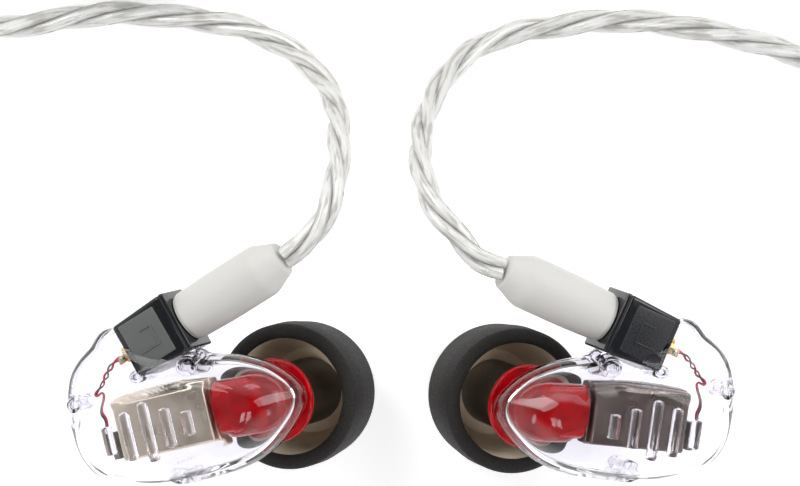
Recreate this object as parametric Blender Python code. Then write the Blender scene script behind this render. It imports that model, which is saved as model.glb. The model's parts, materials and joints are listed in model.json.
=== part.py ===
"""A pair of in-ear monitors with a detachable cable, laid out on a table.

Metres, +Z up. The origin is on the table, under the middle of the two earpieces.
Each earpiece stands on the end of its ear tip and leans back, so that its faceplate looks up.
An earpiece is drawn once in its own frame: X towards the nozzle end, Y towards the cable
connector, Z out of the faceplate, with the seam of the two shell halves at Z = 0. The right
earpiece is the mirror image of the left one. "left" and "right" are the sides of this layout.
"""

import math

import bmesh
import bpy
from mathutils import Matrix, Vector

MM = 0.001

# Overall sizes of an earpiece shell
SHELL_LENGTH = 22.0 * MM
SHELL_WIDTH = 10.8 * MM
SHELL_WALL = 1.0 * MM
FACE_SHOULDER_DEPTH = 2.9 * MM
FACE_POD_RISE = 1.9 * MM
BODY_NOZZLE_DEPTH = 3.6 * MM
BODY_REAR_RISE = 2.6 * MM
SEAM_GAP = 0.3 * MM
HALF_LENGTH = SHELL_LENGTH / 2
HALF_WIDTH = SHELL_WIDTH / 2

# Seam outline of the shell, in half lengths and half widths, from the nozzle end round by the
# connector shoulder to the back and along the lower edge
SHELL_OUTLINE = [(1.02, -0.12), (0.90, 0.37), (0.64, 0.72), (0.33, 0.92), (0.21, 1.07),
                 (-0.43, 1.68), (-0.66, 1.45), (-0.85, 1.15), (-0.95, 0.68), (-0.97, 0.19),
                 (-0.93, -0.31), (-0.79, -0.68), (-0.39, -1.01), (0.0, -1.05), (0.43, -0.98),
                 (0.76, -0.70)]
OUTLINE_SAMPLES = 2
POD_EDGE = 0.4
DOME_RINGS = (0.0, 0.4, 0.64, 0.8, 0.91, 0.975, 1.0)

# Clearances between neighbouring pieces
GAP = 0.3 * MM
CONNECTOR_GAP = 0.15 * MM

# Nozzle and ear tip, on an axis square to the seam
NOZZLE_AXIS = Vector((0.597 * HALF_LENGTH, -0.07 * HALF_WIDTH, 0.0))
NOZZLE_RADIUS = 2.0 * MM
NOZZLE_BORE = 1.3 * MM
NOZZLE_LENGTH = 7.5 * MM
FLANGE_RADIUS = 3.7 * MM
FLANGE_THICKNESS = 0.7 * MM
BOSS_DEPTH = 3.7 * MM
BOSS_TOP = 2.2 * MM
TIP_RADIUS = 6.45 * MM
TIP_LENGTH = 7.9 * MM
TIP_WALL = 0.95 * MM
TIP_END_RADIUS = 4.2 * MM
TIP_END_WALL = 1.6 * MM
TIP_CORE_WALL = 0.6 * MM
TIP_STAND_OFF = 2.8 * MM
FLANGE_BOTTOM = BOSS_DEPTH + GAP + FLANGE_THICKNESS
TIP_RIM = FLANGE_BOTTOM + TIP_STAND_OFF
TIP_END = TIP_RIM + TIP_LENGTH

# Drivers and what joins them to the nozzle
CAN_SIZE = Vector((9.0, 5.2, 3.0)) * MM
CAN_CENTRE = Vector((-0.144 * HALF_LENGTH, 0.0, 0.1 * MM))
TREBLE_SIZE = Vector((5.6, 3.4, 1.8)) * MM
TREBLE_SETBACK = 2.4 * MM
BOARD_SIZE = Vector((0.5, 2.4, 2.4)) * MM
COUPLER_HALF_WIDTH = 2.5 * MM
COUPLER_TOP = 1.9 * MM
COUPLER_BOTTOM = 1.8 * MM
COUPLER_OVERHANG = 2.8 * MM

# Cable connector: a coaxial snap plug in a square socket block, on an axis in the seam
CONNECTOR_ANGLE = math.radians(17.4)
CONNECTOR_ORIGIN = Vector((0.232 * HALF_LENGTH, 1.583 * HALF_WIDTH, 0.0))
SOCKET_LENGTH = 5.7 * MM
SOCKET_WIDTH = 5.2 * MM
SOCKET_DEPTH = 4.8 * MM
SOCKET_FACE = 0.4 * MM
SOCKET_BORE_LENGTH = 4.5 * MM
SOCKET_BARREL_WALL = 0.3 * MM
PLUG_RADIUS = 1.15 * MM
PLUG_WALL = 0.45 * MM
PLUG_REACH = 4.2 * MM
PLUG_ROOT = 2.5 * MM
PIN_RADIUS = 0.2 * MM
SNAP_RING_SECTION = 0.2 * MM
SNAP_RING_WIDTH = 0.5 * MM
SNAP_RING_INSET = 0.6 * MM
SNAP_RING_SLIT = math.radians(40)
CONTACT_RADIUS = 0.4 * MM
CONTACT_CUP_RADIUS = 0.75 * MM
CONTACT_CUP_THICKNESS = 0.3 * MM
CONTACT_TAIL = 0.9 * MM
RING_INNER = PLUG_RADIUS + CONNECTOR_GAP
RING_OUTER = RING_INNER + SNAP_RING_SECTION
BARREL_INNER = RING_OUTER + CONNECTOR_GAP
BARREL_OUTER = BARREL_INNER + SOCKET_BARREL_WALL
SOCKET_BORE = BARREL_OUTER + CONNECTOR_GAP
SOCKET_BACK = SOCKET_FACE + SOCKET_LENGTH

# Cable boot
BOOT_LENGTH = 10.1 * MM
BOOT_RADIUS_FRONT = 2.22 * MM
BOOT_RADIUS_MIDDLE = 2.37 * MM
BOOT_RADIUS_END = 1.55 * MM

# Hook-up wires from the socket contact to the terminal board, beside each other
WIRE_RADIUS = 0.135 * MM
WIRE_SPACING = 0.36 * MM
WIRE_ROUTE = [(-7.1, 5.0), (-7.9, 4.1), (-7.75, 3.3), (-8.0, 2.2), (-8.35, 1.1), (-8.4, 0.3),
              (-8.2, -0.25), (-7.75, -0.55)]

# Where the earpieces stand: pod centre on the table and heading of the nozzle end.
# ORIGIN moves the layout so that the box round both earpieces is centred on x = y = 0.
ORIGIN = Vector((-0.07, 12.77, 0.0)) * MM
# "turn" is the way the ear tip leans, from the heading towards the connector.
LEAN = math.radians(20)
PLACES = {
    "left": {"hand": 1, "centre": (-18.6, -15.2), "yaw": math.radians(13.5), "turn": 0.0},
    "right": {"hand": -1, "centre": (18.85, -15.1), "yaw": math.radians(-7.0),
              "turn": math.radians(13.0)},
}

# Cable: two legs from the boots to the splitter, one trunk to the plug
CORD_DIAMETER = 2.3 * MM
CORD_RADIUS = CORD_DIAMETER / 2
CORD_STEP = 2.2 * CORD_DIAMETER
CORD_EXIT_GAP = 0.3 * CORD_RADIUS
CORD_TABLE = 1.25
LEFT_LEAD = [(-6.6, 2.0, 19.0), (-5.75, 4.6, 18.1), (-5.35, 7.1, 16.3), (-5.35, 9.5, 13.8),
             (-5.6, 11.6, 11.0), (-6.4, 13.6, 8.2), (-7.9, 15.6, 5.6), (-10.0, 17.3, 3.5),
             (-12.4, 18.6, 2.2), (-14.8, 19.4, 1.6), (-17.8, 19.9, 1.3),
             (-22.6, 20.4, CORD_TABLE), (-27.0, 20.4, CORD_TABLE), (-31.5, 19.7, CORD_TABLE),
             (-35.7, 19.2, CORD_TABLE), (-39.2, 19.3, CORD_TABLE), (-42.2, 20.9, CORD_TABLE),
             (-43.6, 24.0, CORD_TABLE), (-44.0, 27.3, CORD_TABLE), (-44.2, 30.5, CORD_TABLE)]
RIGHT_LEAD = [(4.8, 0.8, 19.7), (3.1, 2.9, 18.8), (2.05, 5.4, 16.8), (1.75, 8.0, 14.0),
              (2.0, 10.4, 11.3), (2.8, 12.6, 8.6), (4.0, 14.7, 6.1), (5.6, 16.5, 4.1),
              (7.7, 17.8, 2.7), (10.1, 18.7, 1.8), (13.0, 19.2, 1.35),
              (17.9, 19.8, CORD_TABLE), (22.4, 19.7, CORD_TABLE), (27.0, 19.0, CORD_TABLE),
              (31.4, 18.0, CORD_TABLE), (35.6, 16.7, CORD_TABLE), (38.6, 16.0, CORD_TABLE),
              (41.3, 16.7, CORD_TABLE), (42.7, 19.3, CORD_TABLE), (42.2, 22.3, CORD_TABLE),
              (39.8, 24.4, CORD_TABLE), (36.0, 25.0, CORD_TABLE), (27.0, 25.1, CORD_TABLE),
              (15.0, 25.0, CORD_TABLE), (2.0, 24.9, CORD_TABLE), (-9.0, 24.7, 1.6),
              (-20.4, 24.4, 3.8)]

# Put-away coils: middle of the turns, turns side by side and turns on top of each other
LEG_COIL_CENTRE = (-29.0, 40.5)
LEG_COIL_RADIUS = 13.0 * MM
LEG_COIL_TURNS = (3, 2)
TRUNK_COIL_CENTRE = (25.5, 45.8)
TRUNK_COIL_RADIUS = 13.8 * MM
TRUNK_COIL_TURNS = (3, 4)
COIL_LIFT = 0.6 * MM
COIL_CORNER = 1.0 * MM
TIE_THICKNESS = 0.4 * MM
TIE_WIDTH = 5.0 * MM
TIE_CLEARANCE = 0.2 * MM
LEG_TIE_ANGLE = math.radians(285)
TRUNK_TIE_ANGLE = math.radians(335)

# Straight end of the legs, with the slider on it, then the splitter and the trunk
LEG_END_Y = (56.1, 53.5)
LEG_END_START = (-19.3, -16.8)
LEG_END_HEIGHT = 2.3
SLIDER_START = -12.5
SLIDER_LENGTH = 4.0
SLIDER_SIZE = (7.4 * MM, 4.6 * MM)
SPLIT_START = -4.5
SPLIT_LENGTH = 9.5
SPLIT_WIDTHS = (6.0, 3.6)
SPLIT_HEIGHTS = (4.6, 3.7)
SPLIT_END = (55.6, 1.7)
TRUNK_LEAD = [(6.5, 55.62, 1.75), (8.2, 56.0, 1.8), (9.6, 56.9, 1.8), (10.8, 58.1, 1.8)]

# Plug of 3.5 mm with three contacts, beside the coils, pointing along -X
PLUG_START = (14.2, 29.6, 3.1)
TRUNK_TAIL = [(16.9, 29.75, 2.2), (15.7, 29.65, 2.8)]
RELIEF_LENGTH = 4.5 * MM
RELIEF_RADII = (1.6 * MM, 2.3 * MM)
HOUSING_LENGTH = 9.5 * MM
HOUSING_RADIUS = 3.0 * MM
HOUSING_EDGE = 0.6 * MM
HOUSING_FACE_EDGE = 0.3 * MM
JACK_RADIUS = 1.75 * MM
JACK_CORE = 1.0 * MM
JACK_LENGTH = 14.0 * MM
JACK_SLEEVE = 6.6 * MM
JACK_RING = 2.4 * MM
JACK_SEAT = 1.5 * MM
JACK_ROOT = 3.0 * MM
JACK_BAND = 0.6 * MM

TURN_SEGMENTS = 24
FINE_SEGMENTS = 16
COIL_SEGMENTS = 36
SMOOTH_ANGLE = math.radians(35)


# ---------------------------------------------------------------- mesh tools

def clear_scene():
    """Remove every object from the scene."""
    for item in list(bpy.data.objects):
        bpy.data.objects.remove(item, do_unlink=True)


def plain_material(name, colour, roughness, metallic=0.0, transmission=0.0):
    """A Principled material with a linear colour."""
    material = bpy.data.materials.new(name)
    material.use_nodes = True
    shader = material.node_tree.nodes["Principled BSDF"]
    shader.inputs["Base Color"].default_value = (*colour, 1.0)
    shader.inputs["Roughness"].default_value = roughness
    shader.inputs["Metallic"].default_value = metallic
    shader.inputs["Transmission Weight"].default_value = transmission
    material.diffuse_color = (*colour, 1.0)
    return material


def bridge(bm, first, second):
    """Faces between two rings; a ring of one vertex is a pole."""
    count = max(len(first), len(second))
    if count == 1:
        return
    for i in range(count):
        j = (i + 1) % count
        corners = [first[i % len(first)], first[j % len(first)],
                   second[j % len(second)], second[i % len(second)]]
        face = list(dict.fromkeys(corners))
        bm.faces.new(face)


def turned(profile, segments=TURN_SEGMENTS):
    """Revolve (radius, height) points about Z; the last point joins the first."""
    bm = bmesh.new()
    rings = []
    for radius, height in profile:
        if radius == 0.0:
            rings.append([bm.verts.new((0.0, 0.0, height))])
            continue
        angles = [2 * math.pi * k / segments for k in range(segments)]
        rings.append([bm.verts.new((radius * math.cos(a), radius * math.sin(a), height))
                      for a in angles])
    for first, second in zip(rings, rings[1:] + rings[:1]):
        bridge(bm, first, second)
    bmesh.ops.recalc_face_normals(bm, faces=bm.faces)
    return bm


def tube(inner, outer, low, high, segments=FINE_SEGMENTS):
    """A plain tube about Z."""
    return turned([(inner, low), (outer, low), (outer, high), (inner, high)], segments)


def lofted(sections):
    """A closed solid through rings of equal point count, with flat ends."""
    bm = bmesh.new()
    rings = [[bm.verts.new(point) for point in section] for section in sections]
    for first, second in zip(rings, rings[1:]):
        bridge(bm, first, second)
    bm.faces.new(rings[0])
    bm.faces.new(rings[-1])
    bmesh.ops.recalc_face_normals(bm, faces=bm.faces)
    return bm


def block(low, high, bevel=0.0, bevel_steps=2):
    """A box between two corners, with rounded edges."""
    bm = bmesh.new()
    bmesh.ops.create_cube(bm, size=1.0)
    size = Vector(high) - Vector(low)
    middle = (Vector(high) + Vector(low)) / 2
    bmesh.ops.scale(bm, vec=size, verts=bm.verts)
    bmesh.ops.translate(bm, vec=middle, verts=bm.verts)
    if bevel:
        bmesh.ops.bevel(bm, geom=list(bm.edges), offset=bevel, segments=bevel_steps,
                        affect="EDGES", profile=0.5)
    return bm


def superellipse(width, height, middle, count, power=2.6):
    """Section points in the Y-Z plane of a rounded rectangle that tends to an ellipse."""
    points = []
    for k in range(count):
        angle = 2 * math.pi * (k + 0.5) / count
        c, s = math.cos(angle), math.sin(angle)
        y = width / 2 * math.copysign(abs(c) ** (2 / power), c)
        z = middle + height / 2 * math.copysign(abs(s) ** (2 / power), s)
        points.append((y, z))
    return points


def smooth_step(value):
    """0 below 0, 1 above 1 and a smooth rise between."""
    value = min(max(value, 0.0), 1.0)
    return value * value * (3 - 2 * value)


def catmull_rom(points, samples, closed=False):
    """A smooth curve through the points, with the given samples on each span."""
    points = [Vector(point) for point in points]
    count = len(points)
    spans = count if closed else count - 1
    curve = []
    for i in range(spans):
        if closed:
            around = [points[(i + k) % count] for k in (-1, 0, 1, 2)]
        else:
            around = [points[min(max(i + k, 0), count - 1)] for k in (-1, 0, 1, 2)]
        a, b, c, d = around
        for k in range(samples):
            t = k / samples
            curve.append(0.5 * (2 * b + (c - a) * t + (2 * a - 5 * b + 4 * c - d) * t ** 2
                                + (3 * b - a - 3 * c + d) * t ** 3))
    if not closed:
        curve.append(points[-1])
    return curve


def even_steps(curve, step):
    """Points a nearly equal distance apart along a finely sampled curve."""
    lengths = [0.0]
    for first, second in zip(curve, curve[1:]):
        lengths.append(lengths[-1] + (second - first).length)
    count = max(3, round(lengths[-1] / step))
    result = []
    k = 0
    for i in range(count + 1):
        target = lengths[-1] * i / count
        while k < len(lengths) - 2 and lengths[k + 1] < target:
            k += 1
        share = (target - lengths[k]) / (lengths[k + 1] - lengths[k])
        result.append(curve[k].lerp(curve[k + 1], min(max(share, 0.0), 1.0)))
    return result


# ---------------------------------------------------------------- objects

class Layout:
    """Adds pieces to the scene in one earpiece's frame or on the table."""

    def __init__(self, side):
        place = PLACES[side]
        self.side = side
        self.hand = place["hand"]
        turn = place["turn"]
        reach = NOZZLE_AXIS.x * math.cos(turn) + NOZZLE_AXIS.y * math.sin(turn)
        height = math.cos(LEAN) * TIP_END - math.sin(LEAN) * (reach - TIP_END_RADIUS)
        centre = Vector((place["centre"][0] * MM, place["centre"][1] * MM, height))
        lean_axis = Vector((math.sin(turn), -self.hand * math.cos(turn), 0.0))
        self.matrix = (Matrix.Translation(centre + ORIGIN)
                       @ Matrix.Rotation(place["yaw"], 4, "Z")
                       @ Matrix.Rotation(LEAN, 4, lean_axis))
        self.pivot = self.add_empty("swivel_axis", self.to_world(CONNECTOR_ORIGIN))
        self.pod = self.add_empty("pod", self.matrix, self.pivot)

    def to_world(self, point):
        """World matrix at a point given in the left earpiece's frame."""
        return self.matrix @ Matrix.Translation((self.hand * point.x, point.y, point.z))

    def add_empty(self, name, matrix, parent=None):
        """An empty of this side, with its world matrix."""
        empty = bpy.data.objects.new(f"{self.side}_{name}_guide", None)
        bpy.context.collection.objects.link(empty)
        if parent:
            empty.parent = parent
            empty.matrix_parent_inverse = parent_inverse(parent)
        empty.matrix_world = matrix
        bpy.context.view_layer.update()
        return empty

    def add(self, name, bm, material, hidden=False):
        """An object of this side; the right-hand one is mirrored."""
        if self.hand < 0:
            bmesh.ops.scale(bm, vec=(-1, 1, 1), verts=bm.verts)
            bmesh.ops.reverse_faces(bm, faces=bm.faces)
        piece = add_mesh(f"{self.side}_{name}", bm, material, hidden)
        piece.parent = self.pod
        return piece

    def add_wire(self, name, points, radius, material):
        """A round wire through points in the left earpiece's frame."""
        mirrored = [Vector((self.hand * p.x, p.y, p.z)) for p in points]
        piece = add_cord(f"{self.side}_{name}", mirrored, radius, material, resolution=1)
        piece.parent = self.pod
        return piece


def parent_inverse(parent):
    """The matrix that keeps a child where it is."""
    return parent.matrix_world.inverted()


def add_mesh(name, bm, material, hidden=False):
    """A mesh object; a hidden one only cuts or joins others."""
    mesh = bpy.data.meshes.new(name)
    bm.to_mesh(mesh)
    bm.free()
    mesh.shade_smooth()
    mesh.set_sharp_from_angle(angle=SMOOTH_ANGLE)
    piece = bpy.data.objects.new(name, mesh)
    bpy.context.collection.objects.link(piece)
    if material:
        mesh.materials.append(material)
    if hidden:
        piece.hide_render = True
        piece.display_type = "WIRE"
    return piece


def add_cord(name, points, radius, material, resolution=2):
    """A round tube along the points, with closed ends."""
    curve = bpy.data.curves.new(name, "CURVE")
    curve.dimensions = "3D"
    curve.bevel_depth = radius
    curve.bevel_resolution = resolution
    curve.use_fill_caps = True
    spline = curve.splines.new("POLY")
    spline.points.add(len(points) - 1)
    for target, point in zip(spline.points, points):
        target.co = (*point, 1.0)
    curve.materials.append(material)
    piece = bpy.data.objects.new(name, curve)
    bpy.context.collection.objects.link(piece)
    return piece


def boolean(piece, other, operation="DIFFERENCE"):
    """Cut another solid out of a piece, or join it on."""
    modifier = piece.modifiers.new(other.name, "BOOLEAN")
    modifier.operation = operation
    modifier.object = other
    modifier.solver = "EXACT"


def on_axis(bm, origin, direction):
    """Turn a solid built about Z onto an axis."""
    turn = direction.normalized().to_track_quat("Z", "Y").to_matrix().to_4x4()
    bmesh.ops.transform(bm, matrix=Matrix.Translation(origin) @ turn, verts=bm.verts)
    return bm


def on_nozzle(bm):
    """Turn a solid built about Z onto the nozzle axis, with +Z out of the ear side."""
    return on_axis(bm, NOZZLE_AXIS, Vector((0.0, 0.0, -1.0)))


def on_connector(bm):
    """Turn a solid built about Z onto the connector axis, with +Z along the boot."""
    return on_axis(bm, CONNECTOR_ORIGIN, connector_direction())


def connector_direction():
    """Direction of the cable boot in the earpiece's frame."""
    return Vector((math.cos(CONNECTOR_ANGLE), math.sin(CONNECTOR_ANGLE), 0.0))


def connector_box(low, high, bevel=0.0):
    """A box along the connector: X along the boot, Y across it in the seam."""
    bm = block(low, high, bevel)
    turn = Matrix.Rotation(CONNECTOR_ANGLE, 4, "Z")
    bmesh.ops.transform(bm, matrix=Matrix.Translation(CONNECTOR_ORIGIN) @ turn, verts=bm.verts)
    return bm


# ---------------------------------------------------------------- shell halves

def face_height(x, y, share, wall):
    """Depth of the faceplate half: an edge all round, and a raised oval pod."""
    edge = math.sqrt(max(0.0, 1 - share ** 4))
    return (FACE_SHOULDER_DEPTH - wall) * edge + FACE_POD_RISE * pod_rise(x, y)


def body_height(x, y, share, wall):
    """Depth of the ear side half: shallow at the nozzle and deep at the back."""
    edge = math.sqrt(max(0.0, 1 - share ** 4))
    rear = smooth_step((0.22 - x / HALF_LENGTH) / 0.6)
    return (BODY_NOZZLE_DEPTH - wall) * edge + BODY_REAR_RISE * rear * pod_rise(x, y)


def pod_rise(x, y):
    """1 in the middle of the oval pod and 0 from its edge on."""
    reach = math.hypot(x / HALF_LENGTH, (y / HALF_WIDTH + 0.07))
    return smooth_step((1 - reach) / POD_EDGE)


def shell_half(height, sign):
    """A cup with an even wall: outer dome, inner dome and a flat rim at the seam."""
    scaled = [(x * HALF_LENGTH, y * HALF_WIDTH, 0.0) for x, y in SHELL_OUTLINE]
    outline = catmull_rom(scaled, OUTLINE_SAMPLES, closed=True)
    inset = [point * (1 - SHELL_WALL / point.length) for point in outline]
    bm = bmesh.new()
    domes = []
    for border, wall in ((outline, 0.0), (inset, SHELL_WALL)):
        rings = []
        for share in DOME_RINGS:
            points = [border[0] * 0.0] if share == 0.0 else [p * share for p in border]
            rings.append([bm.verts.new((p.x, p.y, sign * (SEAM_GAP / 2
                                        + height(p.x, p.y, share, wall)))) for p in points])
        for first, second in zip(rings, rings[1:]):
            bridge(bm, first, second)
        domes.append(rings)
    bridge(bm, domes[0][-1], domes[1][-1])
    bmesh.ops.recalc_face_normals(bm, faces=bm.faces)
    return bm


def make_shells(side, clear):
    """Both shell halves, the seat of the nozzle and the notch for the socket."""
    reach = SHELL_WIDTH
    notch = side.add("socket_notch_cut", connector_box(
        (-SOCKET_BACK - GAP, -SOCKET_WIDTH / 2 - GAP, -reach), (reach, reach, reach)),
        None, hidden=True)
    outer = side.add("outer_shell", shell_half(face_height, 1), clear)
    boolean(outer, notch)

    inner = side.add("inner_shell", shell_half(body_height, -1), clear)
    rim = NOZZLE_RADIUS + GAP
    seat = side.add("nozzle_seat_join", on_nozzle(turned(
        [(rim, BOSS_TOP + GAP), (rim, BOSS_DEPTH), (FLANGE_RADIUS, BOSS_DEPTH),
         (FLANGE_RADIUS, BOSS_TOP)])), None, hidden=True)
    bore = side.add("nozzle_bore_cut", on_nozzle(turned(
        [(0.0, 0.0), (rim, 0.0), (rim, BOSS_DEPTH + GAP), (0.0, BOSS_DEPTH + GAP)])),
        None, hidden=True)
    boolean(inner, seat, "UNION")
    boolean(inner, bore)
    boolean(inner, notch)


# ---------------------------------------------------------------- inside the shell

def make_drivers(side, materials):
    """The two armature drivers, the terminal board and the red coupler to the nozzle."""
    half = CAN_SIZE / 2
    side.add("bass_driver", block(CAN_CENTRE - half, CAN_CENTRE + half, 0.5 * MM),
             materials["can_" + side.side])

    top = CAN_CENTRE.z - half.z - GAP
    centre = Vector((CAN_CENTRE.x - TREBLE_SETBACK, CAN_CENTRE.y, top - TREBLE_SIZE.z / 2))
    side.add("treble_driver", block(centre - TREBLE_SIZE / 2, centre + TREBLE_SIZE / 2, 0.3 * MM),
             materials["steel"])

    back = CAN_CENTRE.x - half.x - GAP
    centre = Vector((back - BOARD_SIZE.x / 2, CAN_CENTRE.y - 1.0 * MM, CAN_CENTRE.z))
    side.add("crossover_board", block(centre - BOARD_SIZE / 2, centre + BOARD_SIZE / 2),
             materials["board"])

    side.add("nozzle_coupler", coupler(CAN_CENTRE.x + half.x + GAP), materials["red"])


def coupler(start):
    """A rounded body from the driver's mouth to over the nozzle, with a round far end."""
    end = NOZZLE_AXIS.x + COUPLER_OVERHANG
    stations = [(0.0, 0.86), (0.3, 0.96), (0.55, 1.0), (0.72, 0.93), (0.86, 0.74), (0.95, 0.48),
                (1.0, 0.2)]
    bottom_middle = (COUPLER_TOP - COUPLER_BOTTOM) / 2
    sections = []
    for share, size in stations:
        x = start + share * (end - start)
        ring = superellipse(2 * COUPLER_HALF_WIDTH * size,
                            (COUPLER_TOP + COUPLER_BOTTOM) * size, bottom_middle, 16)
        sections.append([(x, NOZZLE_AXIS.y * share + y, z) for y, z in ring])
    return lofted(sections)


def make_nozzle(side, materials):
    """The red nozzle tube with its flange, its damper and its wax guard."""
    seat = BOSS_DEPTH + GAP
    end = FLANGE_BOTTOM + NOZZLE_LENGTH
    side.add("nozzle", on_nozzle(turned(
        [(NOZZLE_BORE, COUPLER_BOTTOM + GAP), (NOZZLE_RADIUS, COUPLER_BOTTOM + GAP),
         (NOZZLE_RADIUS, seat), (FLANGE_RADIUS, seat), (FLANGE_RADIUS, FLANGE_BOTTOM),
         (NOZZLE_RADIUS, FLANGE_BOTTOM), (NOZZLE_RADIUS, end), (NOZZLE_BORE, end)])),
        materials["red"])
    plug = NOZZLE_BORE - GAP
    side.add("damper", on_nozzle(tube(plug / 2, plug, seat, seat + 2.0 * MM)),
             materials["board"])
    side.add("wax_guard", on_nozzle(tube(plug / 3, plug, end - 0.6 * MM, end - 0.1 * MM)),
             materials["steel"])


def make_ear_tip(side, materials):
    """The soft mushroom skirt, open towards the shell, and the stiff sleeve in it."""
    bore = NOZZLE_RADIUS + GAP
    core = bore + TIP_CORE_WALL
    side.add("ear_tip_core", on_nozzle(tube(bore, core, TIP_RIM, TIP_END - 0.2 * MM)),
             materials["black_rubber"])
    hub = core + GAP
    inside = TIP_RADIUS - TIP_WALL
    shoulder = TIP_RIM + 0.66 * TIP_LENGTH
    profile = [(inside, TIP_RIM), (TIP_RADIUS - 0.1 * MM, TIP_RIM),
               (TIP_RADIUS, TIP_RIM + 0.3 * MM), (TIP_RADIUS, TIP_RIM + 0.35 * TIP_LENGTH),
               (TIP_RADIUS - 0.25 * MM, shoulder)]
    corner = TIP_RADIUS - 0.25 * MM - TIP_END_RADIUS
    for k in (1, 2, 3):
        angle = math.radians(30 * k)
        profile.append((TIP_END_RADIUS + corner * math.cos(angle),
                        shoulder + (TIP_END - shoulder) * math.sin(angle)))
    floor = TIP_END - TIP_END_WALL
    profile += [(hub, TIP_END), (hub, floor), (TIP_END_RADIUS - 0.4 * MM, floor),
                (inside - 0.3 * MM, shoulder - 0.6 * MM)]
    side.add("ear_tip_skirt", on_nozzle(turned(profile, 28)), materials["silicone"])


# ---------------------------------------------------------------- connector

def make_socket(side, materials):
    """The square socket block in the shell, its barrel and its centre contact."""
    half = SOCKET_WIDTH / 2
    housing = side.add("socket_housing", connector_box(
        (-SOCKET_BACK, -half, -SOCKET_DEPTH / 2), (-SOCKET_FACE, half, SOCKET_DEPTH / 2),
        0.35 * MM), materials["black_plastic"])
    floor = -SOCKET_FACE - SOCKET_BORE_LENGTH
    hole = CONTACT_RADIUS + CONNECTOR_GAP
    bore = side.add("socket_bore_cut", on_connector(turned(
        [(0.0, -SOCKET_BACK - GAP), (hole, -SOCKET_BACK - GAP), (hole, floor),
         (SOCKET_BORE, floor), (SOCKET_BORE, GAP), (0.0, GAP)])), None, hidden=True)
    boolean(housing, bore)

    side.add("socket_barrel", on_connector(tube(
        BARREL_INNER, BARREL_OUTER, floor + CONNECTOR_GAP, -SOCKET_FACE - CONNECTOR_GAP)),
        materials["gold"])

    start = -max(PLUG_REACH + GAP, -floor - CONNECTOR_GAP)
    tail = -SOCKET_BACK - CONTACT_TAIL
    cup = tail + CONTACT_CUP_THICKNESS
    side.add("socket_contact", on_connector(turned(
        [(0.0, start), (CONTACT_RADIUS, start), (CONTACT_RADIUS, cup),
         (CONTACT_CUP_RADIUS, cup), (CONTACT_CUP_RADIUS, tail), (0.0, tail)], FINE_SEGMENTS)),
        materials["gold"])


def make_plug(side, materials):
    """The snap plug on the cable: boot, barrel, insulator, pin and spring ring."""
    root = PLUG_ROOT + GAP
    hole = PLUG_RADIUS + CONNECTOR_GAP
    rings = [(0.12, 0.35), (0.3, 0.85), (0.5, 1.0), (0.68, 0.9)]
    profile = [(0.0, root), (hole, root), (hole, 0.0), (BOOT_RADIUS_FRONT, 0.0)]
    for share, swell in rings:
        radius = BOOT_RADIUS_FRONT + swell * (BOOT_RADIUS_MIDDLE - BOOT_RADIUS_FRONT)
        profile.append((radius, share * BOOT_LENGTH))
    for k in (1, 2, 3, 4):
        share = k / 4
        drop = smooth_step(share) * 0.55 + share * 0.45
        radius = BOOT_RADIUS_MIDDLE - drop * (BOOT_RADIUS_MIDDLE - BOOT_RADIUS_END)
        profile.append((radius, (0.68 + 0.32 * share) * BOOT_LENGTH))
    profile.append((0.0, BOOT_LENGTH))
    side.add("boot", on_connector(turned(profile)), materials["grey_rubber"])

    bore = PLUG_RADIUS - PLUG_WALL
    side.add("plug_barrel", on_connector(tube(bore, PLUG_RADIUS, -PLUG_REACH, PLUG_ROOT)),
             materials["gold"])
    hole = PIN_RADIUS + CONNECTOR_GAP
    side.add("plug_insulator", on_connector(tube(
        hole, bore - CONNECTOR_GAP, -PLUG_REACH + GAP, PLUG_ROOT)), materials["white_plastic"])
    side.add("plug_pin", on_connector(turned(
        [(0.0, -PLUG_REACH), (PIN_RADIUS, -PLUG_REACH), (PIN_RADIUS, PLUG_ROOT),
         (0.0, PLUG_ROOT)], FINE_SEGMENTS)), materials["gold"])
    side.add("snap_ring", on_connector(open_ring(
        RING_INNER, RING_OUTER, -PLUG_REACH + SNAP_RING_INSET, SNAP_RING_WIDTH)),
        materials["steel"])


def open_ring(inner, outer, low, width):
    """A flat spring ring with a slit."""
    sections = []
    for k in range(FINE_SEGMENTS + 1):
        angle = SNAP_RING_SLIT / 2 + (2 * math.pi - SNAP_RING_SLIT) * k / FINE_SEGMENTS
        c, s = math.cos(angle), math.sin(angle)
        sections.append([(radius * c, radius * s, height) for radius, height in
                         ((inner, low), (outer, low), (outer, low + width), (inner, low + width))])
    return lofted(sections)


def make_wires(side, materials):
    """Red and black hook-up wires from the socket contact to the terminal board."""
    tail = SOCKET_BACK + CONTACT_TAIL + CONNECTOR_GAP + WIRE_RADIUS
    start = CONNECTOR_ORIGIN - connector_direction() * tail
    stretch = Vector((SHELL_LENGTH / (22.0 * MM), SHELL_WIDTH / (10.8 * MM)))
    back = CAN_CENTRE.x - CAN_SIZE.x / 2 - GAP - BOARD_SIZE.x - CONNECTOR_GAP
    route = [start]
    route += [Vector((x * MM * stretch.x, y * MM * stretch.y, 0.0)) for x, y in WIRE_ROUTE]
    route.append(Vector((back, CAN_CENTRE.y - 0.6 * MM, 0.0)))
    curve = even_steps(catmull_rom(route, 6), 5 * WIRE_RADIUS)
    for name, offset in (("red_wire", 0.5), ("black_wire", -0.5)):
        shift = Vector((0.0, 0.0, CAN_CENTRE.z + offset * WIRE_SPACING))
        side.add_wire(name, [point + shift for point in curve], WIRE_RADIUS, materials[name])


# ---------------------------------------------------------------- cable

def on_table(x, y, z=0.0):
    """A point of the layout in metres, from millimetres."""
    return Vector((x, y, z)) * MM + ORIGIN


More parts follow.
